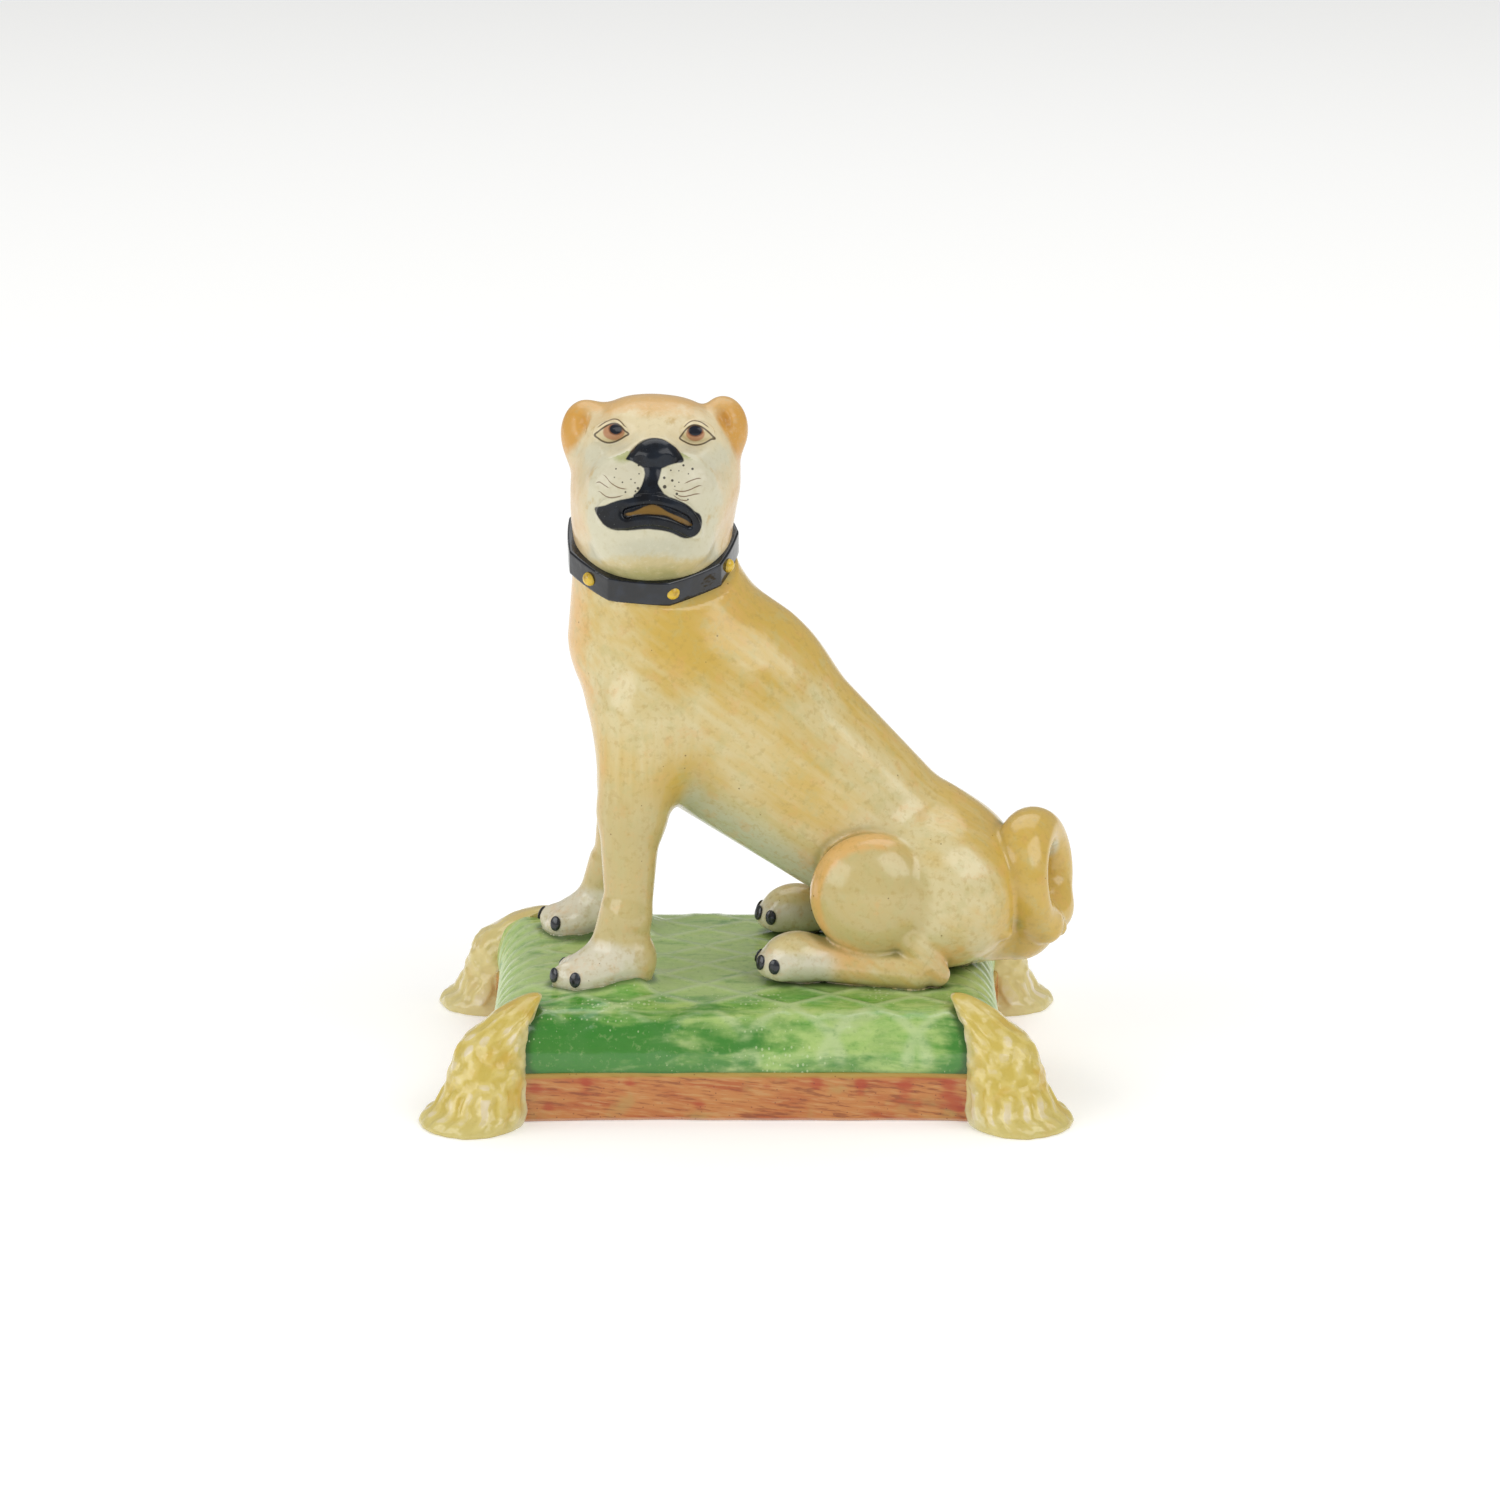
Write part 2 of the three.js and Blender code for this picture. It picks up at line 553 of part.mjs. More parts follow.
// Thins the mesh: each step closes up the edge whose loss moves the surface least
function thin({ points, triangles }, target) {
  const sums = points.map(() => new Array(10).fill(0));
  const facesOf = points.map(() => new Set());
  const stamp = new Int32Array(points.length);
  triangles.forEach((triangle, face) => {
    const corners = triangle.map((v) => points[v]);
    const n = triangleNormal(...corners);
    const area = Math.hypot(...n) || 1e-12;
    const [a, b, c] = n.map((value) => value / area);
    const d = -(a * corners[0][0] + b * corners[0][1] + c * corners[0][2]);
    const plane = planeSum(a, b, c, d, area * importance(corners[0]));
    for (const v of triangle) {
      facesOf[v].add(face);
      sums[v] = sums[v].map((value, i) => value + plane[i]);
    }
  });

  const heap = new Heap();
  const consider = (a, b) => {
    const sum = sums[a].map((value, i) => value + sums[b][i]);
    const midway = points[a].map((value, i) => (value + points[b][i]) / 2);
    const span = Math.hypot(...points[a].map((value, i) => value - points[b][i]));
    let at = nearestPoint(sum);
    if (!at || Math.hypot(...at.map((value, i) => value - midway[i])) > span) at = midway;
    const cost = planeError(sum, at) + thinning.spanCost * span * span;
    heap.push({ cost, a, b, at, sum, stampA: stamp[a], stampB: stamp[b] });
  };
  const neighbours = (v) => {
    const near = new Set([...facesOf[v]].flatMap((face) => triangles[face]));
    near.delete(v);
    return near;
  };
  const turnsOver = (v, partner, at) => {
    for (const face of facesOf[v]) {
      const triangle = triangles[face];
      if (triangle.includes(partner)) continue;
      const before = triangleNormal(...triangle.map((w) => points[w]));
      const after = triangleNormal(...triangle.map((w) => (w === v ? at : points[w])));
      const dot = before[0] * after[0] + before[1] * after[1] + before[2] * after[2];
      if (dot < thinning.turnLimit * Math.hypot(...before) * Math.hypot(...after)) return true;
    }
    return false;
  };

  points.forEach((point, v) => {
    for (const other of neighbours(v)) if (other > v) consider(v, other);
  });
  let left = triangles.length;
  while (left > target && heap.entries.length > 0) {
    const { a, b, at, sum, stampA, stampB } = heap.pop();
    if (stamp[a] !== stampA || stamp[b] !== stampB) continue;
    const aroundB = neighbours(b);
    const shared = [...neighbours(a)].filter((v) => aroundB.has(v));
    if (shared.length !== 2 || turnsOver(a, b, at) || turnsOver(b, a, at)) continue;
    for (const face of facesOf[b]) {
      if (triangles[face].includes(a)) {
        for (const v of triangles[face]) if (v !== b) facesOf[v].delete(face);
        triangles[face] = null;
        left -= 1;
      } else {
        triangles[face] = triangles[face].map((v) => (v === b ? a : v));
        facesOf[a].add(face);
      }
    }
    facesOf[b].clear();
    stamp[b] = -1;
    stamp[a] += 1;
    points[a] = at;
    sums[a] = sum;
    for (const v of neighbours(a)) consider(a, v);
  }
  return { points, triangles: triangles.filter(Boolean) };
}

// Cuts the figure off flat at the floor
async function cutFlat({ points, triangles }) {
  const wasm = await Module();
  wasm.setup();
  const solidFrom = (positions, indices) => new wasm.Manifold(new wasm.Mesh({
    numProp: 3,
    vertProperties: Float32Array.from(positions),
    triVerts: Uint32Array.from(indices),
  }));
  const renumber = new Map();
  for (const v of triangles.flat()) if (!renumber.has(v)) renumber.set(v, renumber.size);
  const kept = [...renumber.keys()].flatMap((v) => points[v]);
  const figure = solidFrom(kept, triangles.flat().map((v) => renumber.get(v)));

  const { width, depth } = floorBlock;
  const floor = new THREE.BoxGeometry(width, width, depth).translate(0, 0, -depth / 2);
  const faces = [];
  const boxCorners = new Map();
  for (const i of floor.index.array) {
    const corner = [0, 1, 2].map((axis) => floor.attributes.position.array[3 * i + axis]);
    const key = corner.join();
    if (!boxCorners.has(key)) boxCorners.set(key, { number: boxCorners.size, corner });
    faces.push(boxCorners.get(key).number);
  }
  const block = solidFrom([...boxCorners.values()].flatMap(({ corner }) => corner), faces);
  const result = figure.subtract(block).getMesh();
  const geometry = new THREE.BufferGeometry();
  geometry.setAttribute("position", new THREE.BufferAttribute(result.vertProperties, 3));
  geometry.setIndex([...result.triVerts]);
  geometry.computeVertexNormals();
  return geometry;
}

const glaze = { color: 0xcdb56f, roughness: 0.15, metalness: 0 };
const glazedPottery = new THREE.MeshStandardMaterial(glaze);
const figurine = new THREE.Mesh(await cutFlat(thin(findSurface(), surfaceTriangles)), glazedPottery);
figurine.name = "pug_figurine";

const model = new THREE.Group();
model.add(figurine);

export default model;
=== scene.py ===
from math import cos, pi, radians, sin

import bpy
import numpy as np
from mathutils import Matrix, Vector


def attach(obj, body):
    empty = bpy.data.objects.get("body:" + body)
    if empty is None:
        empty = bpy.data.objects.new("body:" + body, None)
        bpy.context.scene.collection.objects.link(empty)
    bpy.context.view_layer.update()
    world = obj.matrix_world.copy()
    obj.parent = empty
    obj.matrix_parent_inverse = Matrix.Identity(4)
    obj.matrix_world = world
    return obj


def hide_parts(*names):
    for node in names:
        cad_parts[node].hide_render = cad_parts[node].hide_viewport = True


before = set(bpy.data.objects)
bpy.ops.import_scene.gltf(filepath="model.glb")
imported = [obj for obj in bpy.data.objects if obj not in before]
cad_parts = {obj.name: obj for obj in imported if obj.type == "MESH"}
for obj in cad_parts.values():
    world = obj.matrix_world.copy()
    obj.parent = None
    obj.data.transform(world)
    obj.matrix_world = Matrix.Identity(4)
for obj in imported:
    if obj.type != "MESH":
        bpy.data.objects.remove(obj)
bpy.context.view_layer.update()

# A pug seated on a tasselled cushion: pressed pottery, painted under a clear glaze.
# Sizes are in millimetres, and turn to metres in each mesh.
mm = 0.001
node = "pug_figurine"


# Two solids joined with a fillet, and one carved out of the other with a soft lip

def join(a, b, fillet):
    overlap = np.maximum(fillet - np.abs(a - b), 0)
    return np.minimum(a, b) - overlap * overlap / (4 * fillet)


def carve(a, b, lip):
    return -join(-a, b, lip)


def fade(value, low, high):  # smoothly from 0 at low to 1 at high
    t = np.clip((value - low) / (high - low), 0, 1)
    return t * t * (3 - 2 * t)


def egg(p, at, size, lean=0):  # distance to an egg that leans forward or back by some degrees
    dx, dy, dz = p[0] - at[0], p[1] - at[1], p[2] - at[2]
    c, s = cos(radians(lean)), sin(radians(lean))
    u, v, w = (dx * c - dz * s) / size[0], dy / size[1], (dx * s + dz * c) / size[2]
    near = np.sqrt(u * u + v * v + w * w)
    slope = np.sqrt((u / size[0]) ** 2 + (v / size[1]) ** 2 + (w / size[2]) ** 2)
    return near * (near - 1) / np.maximum(slope, 1e-6)


def limb(p, start, end, radii, flat=1):  # distance to a tapered limb, thinner from side to side if flat
    run = [b - a for a, b in zip(start, end)]
    along = sum((p[i] - start[i]) * run[i] for i in range(3)) / sum(r * r for r in run)
    t = np.clip(along, 0, 1)
    dx, dy, dz = (p[i] - start[i] - t * run[i] for i in range(3))
    away = np.sqrt(dx * dx + (dy / flat) ** 2 + dz * dz)
    return (away - (radii[0] + (radii[1] - radii[0]) * t)) * flat


def strand(p, points, radii):  # distance to limbs end to end
    spans = zip(points, points[1:], radii, radii[1:])
    return np.minimum.reduce([limb(p, a, b, (ra, rb)) for a, b, ra, rb in spans])


def sculpt(p, forms, solid=None):  # each form is blended into those before it, or cut out of them
    for form in forms:
        if "size" in form:
            shape = egg(p, form["at"], form["size"], form.get("lean", 0))
        else:
            shape = limb(p, form["start"], form["end"], form["radii"], form.get("flat", 1))
        if solid is None:
            solid = shape
        else:
            solid = (carve if form.get("cut") else join)(solid, shape, form["blend"])
    return solid


def tipped(p, at, pitch):  # u to the right, v up and w towards the viewer
    c, s = cos(radians(pitch)), sin(radians(pitch))
    x, y, z = p[0] - at[0], p[1] - at[1], p[2] - at[2]
    return x, y * s + z * c, z * s - y * c


# The surface of a solid: the parts of space that it may pass through are read finely, each crossed
# cell gets one point, and the points are then drawn onto the surface itself

search = {
    # blocks and their parts in cells; a part counts as crossed with some slack and margin (mm)
    "block": 16, "part": 4, "slack": 1.3, "margin": 0.8,
    # steps as shares of a cell, for drawing the points in and for the way that they face
    "rounds": 2, "drawStep": 0.1, "facingStep": 0.4, "leastSlope": 0.25,
}


def read(distance, points, chunk=200000):  # the distance at many points, a chunk at a time
    parts = [distance(points[:, i:i + chunk]) for i in range(0, points.shape[1], chunk)]
    return np.concatenate(parts)


def slopeOf(distance, points, step):
    total = np.zeros_like(points)
    for corner in ((1, 1, 1), (1, -1, -1), (-1, 1, -1), (-1, -1, 1)):
        offset = np.array(corner, np.float32)[:, None]
        total += offset * read(distance, points + offset * step)
    return total / (4 * step)


def facingOf(distance, points, step):  # the way that the surface faces at each point
    slope = slopeOf(distance, points, step)
    return slope / np.maximum(np.sqrt((slope ** 2).sum(0)), 1e-6)


def drawOnto(distance, points, step, most, rounds):  # each round moves the points by that much at most
    for _ in range(rounds):
        slope = slopeOf(distance, points, step)
        move = read(distance, points) / np.maximum((slope ** 2).sum(0), search["leastSlope"])
        points -= slope * np.clip(move, -most, most)
    return points


def lattice(*rows):  # every place that three rows of numbers give
    return np.stack(np.meshgrid(*rows, indexing="ij"), 0).reshape(3, -1)


def crossedParts(distance, low, cell, shape):
    block, part = search["block"], search["part"]
    starts = lattice(*[np.arange(0, count, block) for count in shape])
    for size in (block, part):
        middle = low[:, None] + (starts + size / 2) * cell
        reach = search["slack"] * size * cell * 3 ** 0.5 / 2 + search["margin"]
        starts = starts[:, np.abs(read(distance, middle.astype(np.float32))) < reach]
        if size == block:
            steps = lattice(*[np.arange(0, block, part)] * 3)
            starts = (starts[:, :, None] + steps[:, None]).reshape(3, -1)
    return starts


def findSurface(distance, low, high, cell):
    low, high = np.array(low, float), np.array(high, float)
    block, part = search["block"], search["part"]
    shape = (np.ceil((high - low) / cell / block) * block + part + 1).astype(int)
    strides = np.array([shape[1] * shape[2], shape[2], 1])
    starts = crossedParts(distance, low, cell, shape - part - 1)
    steps = lattice(*[np.arange(part + 1)] * 3)[:, None]
    wanted = np.unique(np.tensordot(strides, starts[:, :, None] + steps, 1))
    place = np.stack(np.unravel_index(wanted, shape), 0)
    values = np.full(int(np.prod(shape)), np.nan, np.float32)
    values[wanted] = read(distance, (low[:, None] + place * cell).astype(np.float32))

    crossings, owners, quads = [], [], []
    for axis in range(3):
        step, across, up = (strides[(axis + i) % 3] for i in range(3))
        start = wanted[wanted + step < len(values)]
        a, b = values[start], values[start + step]
        crossed = ((a < 0) != (b < 0)) & ~np.isnan(a) & ~np.isnan(b)
        start, a, b = start[crossed], a[crossed], b[crossed]
        point = np.stack(np.unravel_index(start, shape), 0).astype(float)
        point[axis] += a / (a - b)
        around = np.stack([start, start - across, start - across - up, start - up], 0)
        crossings.append(np.repeat(point[:, None], 4, 1).reshape(3, -1))
        owners.append(around.reshape(-1))
        quads.append(np.where(a < 0, around, around[::-1]))
    owners, quads = np.concatenate(owners), np.concatenate(quads, 1)
    cells, owner = np.unique(owners, return_inverse=True)
    count = np.bincount(owner)
    crossings = np.concatenate(crossings, 1)
    points = np.stack([np.bincount(owner, row) / count for row in crossings], 0)
    points = (low[:, None] + points * cell).astype(np.float32)
    points = drawOnto(distance, points, cell * search["drawStep"], cell / 2, search["rounds"])
    normals = facingOf(distance, points, cell * search["facingStep"])
    return points, normals, np.searchsorted(cells, quads).T


def makeMesh(name, points, faces, finish, normals=None, paints=None):
    mesh = bpy.data.meshes.new(name)
    mesh.vertices.add(points.shape[1])
    mesh.vertices.foreach_set("co", (points.T * mm).astype(np.float32).ravel())
    mesh.loops.add(faces.size)
    mesh.loops.foreach_set("vertex_index", faces.astype(np.int32).ravel())
    mesh.polygons.add(len(faces))
    mesh.polygons.foreach_set("loop_start", np.arange(0, faces.size, faces.shape[1], dtype=np.int32))
    mesh.polygons.foreach_set("use_smooth", np.ones(len(faces), bool))
    mesh.update(calc_edges=True)
    mesh.validate()
    if normals is not None:
        mesh.normals_split_custom_set_from_vertices(normals.T.tolist())
    for paint, values in (paints or {}).items():
        layer = mesh.attributes.new(paint, "FLOAT", "POINT")
        layer.data.foreach_set("value", values.astype(np.float32))
    mesh.materials.append(finish)
    piece = bpy.data.objects.new(name, mesh)
    bpy.context.scene.collection.objects.link(piece)
    print(name, len(mesh.vertices), "points", 2 * len(mesh.polygons), "triangles")
    return piece


def hollowness(distance, points, normals, reach):  # 1 deep in a groove, 0 on open ground
    return np.clip(1 - read(distance, points + normals * reach) / reach, 0, 1)


# Nodes: one function adds any node, in a material or in Geometry Nodes

def addNode(tree, kind, links=None, **settings):
    made = tree.nodes.new(kind)
    for setting, value in settings.items():
        setattr(made, setting, value)
    for socket, source in (links or {}).items():
        if isinstance(socket, str):
            into = next(s for s in made.inputs if s.name == socket and s.enabled)
        else:
            into = made.inputs[socket]
        if isinstance(source, bpy.types.Node):
            source = next(s for s in source.outputs if s.enabled)
        if isinstance(source, bpy.types.NodeSocket):
            tree.links.new(into, source)
        else:
            into.default_value = source
    return made


def linear(hexColour):  # "#RRGGBB" as the shader's linear red, green and blue
    parts = [int(hexColour[i:i + 2], 16) / 255 for i in (1, 3, 5)]
    return [c / 12.92 if c <= 0.04045 else ((c + 0.055) / 1.055) ** 2.4 for c in parts] + [1.0]


def perMetre(millimetres):  # a texture scale whose pattern is that many millimetres wide
    return 1000 / millimetres


# Cushion: a band below and a pillow above, with sides that curve in between the corners

cushion = {
    "middleX": -0.6, "halfWidth": 41.0, "halfDepth": 30.2, "bandTop": 8.0, "top": 17.1,
    # the corners stand out past the middle of the ends and of the long sides
    "endFlare": 3.2, "endReach": 29.0, "sideFlare": 1.6, "sideReach": 40.0,
    "edgeRadius": 7.0, "inset": 0.5, "crown": 0.6, "crownWidth": 36.0, "crownDepth": 27.0,
    # the clay rises to each front heel: middle, height, and reach to the front, back and sides
    "heelX": -18.8, "heelY": 14.6, "heelRise": 3.2, "heelReach": (8.0, 2.7, 5.0), "middleY": 1.0,
}
cornerX = cushion["halfWidth"] + cushion["endFlare"]
cornerY = cushion["halfDepth"] + cushion["sideFlare"]


def cushionEdges(across, deep):  # how far out the end and the long side lie, level with a place
    c = cushion
    end = c["halfWidth"] + c["endFlare"] * np.minimum(deep / c["endReach"], 1) ** 4
    side = c["halfDepth"] + c["sideFlare"] * np.minimum(across / c["sideReach"], 1) ** 6
    return end, side


def crownSwell(across, deep):  # 1 over the middle of the top, 0 at its edges
    swell = np.maximum(1 - (across / cushion["crownWidth"]) ** 2, 0)
    return swell * np.maximum(1 - (deep / cushion["crownDepth"]) ** 2, 0)


def heelMound(x, y):
    c = cushion
    ahead, behind, aside = c["heelReach"]
    dx, dy = x - c["heelX"], np.abs(y - c["middleY"]) - c["heelY"]
    return c["heelRise"] * np.exp(-(dx / np.where(dx < 0, ahead, behind)) ** 2 - (dy / aside) ** 2)


def cushionDistance(p):
    c = cushion
    across, deep, z = np.abs(p[0] - c["middleX"]), np.abs(p[1]), p[2]
    end, side = cushionEdges(across, deep)
    r = c["edgeRadius"]
    ex, ey = across - end + c["inset"] + r, deep - side + c["inset"] + r
    ez = z - (c["top"] + c["crown"] * crownSwell(across, deep) + heelMound(p[0], p[1]) - r)
    outside = np.sqrt(np.maximum(ex, 0) ** 2 + np.maximum(ey, 0) ** 2 + np.maximum(ez, 0) ** 2)
    return outside + np.minimum(np.maximum(np.maximum(ex, ey), ez), 0) - r


def cushionOutline(count):  # x and y of the band's foot, side by side, from the front left
    share = count // 4
    run = (np.arange(share) + 0.5) / share * 2 - 1
    longRun, shortRun = run * cornerX, run * cornerY
    end, side = cushionEdges(np.abs(longRun), np.abs(shortRun))
    x = np.concatenate([longRun, end, -longRun, -end])
    y = np.concatenate([-side, shortRun, side, -shortRun])
    return x, y


def drawnIn(x, y, inset):  # the outline, drawn in by that much
    return x * (1 - inset / cornerX), y * (1 - inset / cornerY)


# Pillow: the roll of its edge, the raised lattice on its top and the ribs over its ends

pillow = {
    "around": 720, "topRings": 66, "rollRings": 18, "sideRings": 12, "foot": 6.0, "tuck": 0.6,
    "cornerPull": 0.055, "cornerSharp": 10, "reliefFrom": 7.5, "reliefFull": 10.0,
    "diamondWidth": 13.5, "diamondDepth": 9.6, "cordWidth": 1.0, "cordHeight": 0.18,
    "ribPitch": 4.7, "ribLean": 0.75, "ribWidth": 0.9, "ribHeight": 0.3, "ribFrom": 30.0, "ribTo": 39.0,
}


def cushionRelief(x, y):
    s = pillow
    across, deep = x / s["diamondWidth"], y / s["diamondDepth"]
    cords = 0
    for count in (across + deep, across - deep):
        away = np.abs(count - np.round(count)) * s["diamondDepth"]
        cords = np.maximum(cords, np.exp(-(away / s["cordWidth"]) ** 2))
    atEnds = fade(np.abs(x), s["ribFrom"], s["ribTo"])
    turn = (y - s["ribLean"] * (cushion["halfWidth"] - np.abs(x))) / s["ribPitch"]
    rib = np.abs(turn - np.round(turn)) * s["ribPitch"]
    ribs = np.exp(-(rib / s["ribWidth"]) ** 2)
    return cords * s["cordHeight"] * (1 - atEnds) + ribs * s["ribHeight"] * atEnds


def makePillow():
    s, c = pillow, cushion
    r, top, foot = c["edgeRadius"], c["top"], s["foot"]
    x, y = cushionOutline(s["around"])
    pull = s["cornerPull"] * (np.abs(x) / cornerX) ** s["cornerSharp"]
    pull = 1 - pull * (np.abs(y) / cornerY) ** s["cornerSharp"]
    x, y = x * pull, y * pull
    inner = r + c["inset"]
    topX, topY = drawnIn(x, y, inner)
    rows = [(share * topX, share * topY, top) for share in np.linspace(0, 1, s["topRings"])[1:]]
    for turn in np.linspace(0, pi / 2, s["rollRings"] + 1)[1:]:
        rows.append((*drawnIn(x, y, inner - r * sin(turn)), top - r + r * cos(turn)))
    for drop in np.linspace(0, 1, s["sideRings"] + 1)[1:]:
        inset = c["inset"] + s["tuck"] * drop ** 3
        rows.append((*drawnIn(x, y, inset), top - r - (top - r - foot) * drop))
    px, py = (np.array([row[i] for row in rows]) for i in (0, 1))
    pz = np.array([np.full(len(x), row[2]) for row in rows])
    swollen = c["crown"] * crownSwell(px, py) + heelMound(px + c["middleX"], py)
    return closedRings(px, py, pz + swollen * (pz > top - 0.01))  # the top alone swells


def closedRings(px, py, pz):  # quads between the rings, and a fan over the first ring and the last
    rings, count = px.shape
    number = np.arange(rings * count).reshape(rings, count)
    following = np.roll(number, -1, 1)
    quads = np.stack([number[:-1], number[1:], following[1:], following[:-1]], -1).reshape(-1, 4)
    points = np.stack([px.ravel(), py.ravel(), pz.ravel()], 0)
    middles = np.array([[0, 0], [0, 0], [pz[0].mean(), pz[-1].mean()]])
    points = np.concatenate([points, middles], 1)
    fans = []
    for ring, middle, way in ((0, rings * count, 1), (-1, rings * count + 1, -1)):
        corners = [np.roll(number[ring], -step)[::2] for step in range(3)]
        fans.append(np.stack([np.full(count // 2, middle), *corners[::way]], -1))
    return points, np.concatenate([quads, *fans])


def smoothNormals(points, faces):
    a, b, c, d = (points[:, faces[:, i]] for i in range(4))
    across = np.cross((c - a).T, (d - b).T).T
    total = np.zeros_like(points)
    for i in range(4):
        for axis in range(3):
            total[axis] += np.bincount(faces[:, i], across[axis], points.shape[1])
    return total / np.maximum(np.sqrt((total ** 2).sum(0)), 1e-9)


# Band under the pillow

band = {
    "around": 720, "edge": 0.8, "edgeRings": 5, "rows": 16, "ledge": 6.0, "wave": 0.12, "clear": 0.06,
    # red blots along the front: x, z and reach
    "blots": [(-34, 6.0, 1.6), (-26, 6.3, 1.2), (-19, 6.8, 1.3), (-32, 2.6, 1.4), (2.8, 6.4, 1.0),
              (10.5, 6.5, 1.3), (17.5, 6.0, 1.1), (24.5, 5.6, 1.5), (31.5, 5.2, 1.6), (33.0, 2.6, 1.3),
              (-8, 3.0, 1.5)],
}


def makeBand():
    s, top, edge = band, cushion["bandTop"], band["edge"]
    x, y = cushionOutline(s["around"])
    turns = np.linspace(0, pi / 2, s["edgeRings"])
    rows = [(s["ledge"], top)]
    rows += [(edge * (1 - sin(t)), top - edge * (1 - cos(t))) for t in turns]
    rows += [(0, z) for z in np.linspace(top - edge, edge, s["rows"])[1:-1]]
    rows += [(edge * (1 - cos(t)), edge * (1 - sin(t))) for t in turns]
    rows += [(s["ledge"], 0)]
    px = np.array([drawnIn(x, y, inset)[0] for inset, z in rows])
    py = np.array([drawnIn(x, y, inset)[1] for inset, z in rows])
    # it ends a hair above the tassels' feet, so that no two faces lie in one plane
    pz = np.array([np.full(len(x), max(z, s["clear"])) for inset, z in rows])
    along = np.linspace(0, 2 * pi, len(x), endpoint=False)
    wave = s["wave"] * (np.sin(7 * along + 1) + 0.6 * np.sin(17 * along + 2) + 0.5 * np.sin(31 * along))
    return closedRings(px * (1 + wave / cornerX), py * (1 + wave / cornerY), pz)


# Dog: the trunk and legs are eggs and tapered limbs, each blended into those before it

dog = {
    "middle": 1.0, "hindMiddle": 0.3, "skew": 0.096, "skewFrom": 50.0, "skewOver": 20.0,
    "cell": 0.47, "low": (-38, -21, 15.5), "high": (58, 23, 94), "headFrom": 74,
    "toe": 0.72, "toeSize": (2.5, 1.7, 2.3), "toeBlend": 0.9,
    "haunchAt": (19.6, 31.9), "haunchSize": (10.1, 10.4),
    # the fillet on the cushion: its blend, its reach, its drop, and how far the body runs in
    "seat": 0.8, "seatReach": 0.88, "seatDrop": 0.2, "sunk": 0.6,
}
trunk = [
    {"at": (-11.0, 1.0, 67.9), "size": (14.1, 13.3, 17.1), "lean": -12},
    {"start": (-15.5, 0.5, 89.0), "end": (-14.9, 1.0, 72.0), "radii": (12.4, 14.3), "flat": 0.94, "blend": 5},
    {"start": (-5.4, 1.0, 60.2), "end": (22.6, 1.0, 36.8), "radii": (17.9, 13.2), "flat": 0.82, "blend": 5},
    {"at": (-0.9, 1.0, 63.0), "size": (13.1, 11.5, 13.1), "blend": 4},
    {"at": (32.7, 1.0, 30.4), "size": (12.3, 12.0, 14.2), "lean": -25, "blend": 5},
]
foreLeg = [
    {"start": (-16.5, 7.8, 60.0), "end": (-18.9, 10.8, 45.0), "radii": (8.45, 5.4), "blend": 5},
    {"start": (-19.4, 10.8, 45.0), "end": (-20.9, 13.4, 28.0), "radii": (5.0, 3.6), "blend": 2},
    {"start": (-21.4, 13.4, 28.5), "end": (-26.6, 14.2, 20.0), "radii": (4.25, 1.3), "blend": 1},
    {"at": (-26.4, 14.4, 19.8), "size": (6.9, 4.9, 3.6), "lean": -24, "blend": 2.5},
    {"at": (-20.6, 13.8, 21.5), "size": (4.3, 4.3, 5.2), "blend": 2},
]
hindLeg = [
    {"at": (30.0, 8.9, 30.5), "size": (12.5, 8.7, 11.6), "lean": -10, "blend": 5},
    {"at": (19.5, 12.5, 32.0), "size": (9.9, 6.9, 10.1), "lean": -14, "blend": 0.9},
    {"start": (8.0, 12.8, 21.6), "end": (26.5, 15.0, 19.8), "radii": (3.5, 2.9), "blend": 0.8},
    {"start": (26.0, 15.2, 25.0), "end": (30.1, 15.0, 19.4), "radii": (2.3, 2.0), "blend": 1.2},
    {"at": (7.4, 12.8, 21.7), "size": (5.4, 4.4, 4.0), "blend": 1.5},
]
foreClaws = {"angles": (61, 22, -48), "at": (-26.2, 14.4, 18.9), "reach": (7.0, 4.7)}
hindClaws = {"angles": (54, 20, -14, -48), "at": (7.2, 12.8, 20.6), "reach": (5.3, 4.1)}
tail = {
    "at": (46.3, -0.8, 32.3), "turn": -22, "slant": 0.1, "radius": 7.2, "thickness": 3.45,
    "width": (1.2, 0.14), "floorRadius": 6.5, "floorOffset": 2.0, "floorHalf": 1.2, "floorBlend": 0.6,
    "root": [(36.0, 1.0, 25.0), (43.5, 1.0, 23.6), (48.5, 2.5, 25.0)], "rootRadii": (8.5, 6.6, 4.0),
    "tip": [(45.2, -5.2, 27.0), (47.6, -4.2, 24.4), (49.9, -3.0, 23.6)], "tipRadii": (3.6, 3.2, 1.5),
    "boss": {"at": (40.4, -10.2, 25.0), "size": (1.8, 1.5, 1.2), "blend": 1},
    "rootBlend": 2, "tipBlend": 0.8, "blend": 0.9,
}


def clawPlaces(paw, share=1.0):
    turns = [radians(angle) for angle in paw["angles"]]
    (x, y, z), (reachX, reachY) = paw["at"], paw["reach"]
    return [(x - share * reachX * cos(a), y + share * reachY * sin(a), z) for a in turns]


def bodyDistance(p):
    x, y, z = p
    lower = np.clip((dog["skewFrom"] - z) / dog["skewOver"], 0, 1)
    fore = (x + dog["skew"] * (y - dog["middle"]) * lower, np.abs(y - dog["middle"]), z)
    hind = (x, np.abs(y - dog["hindMiddle"]), z)
    solid = sculpt(hind, hindLeg, sculpt(fore, foreLeg, sculpt(p, trunk)))
    for side, paw in ((fore, foreClaws), (hind, hindClaws)):
        for at in clawPlaces(paw, dog["toe"]):
            solid = join(solid, egg(side, at, dog["toeSize"]), dog["toeBlend"])
    return solid


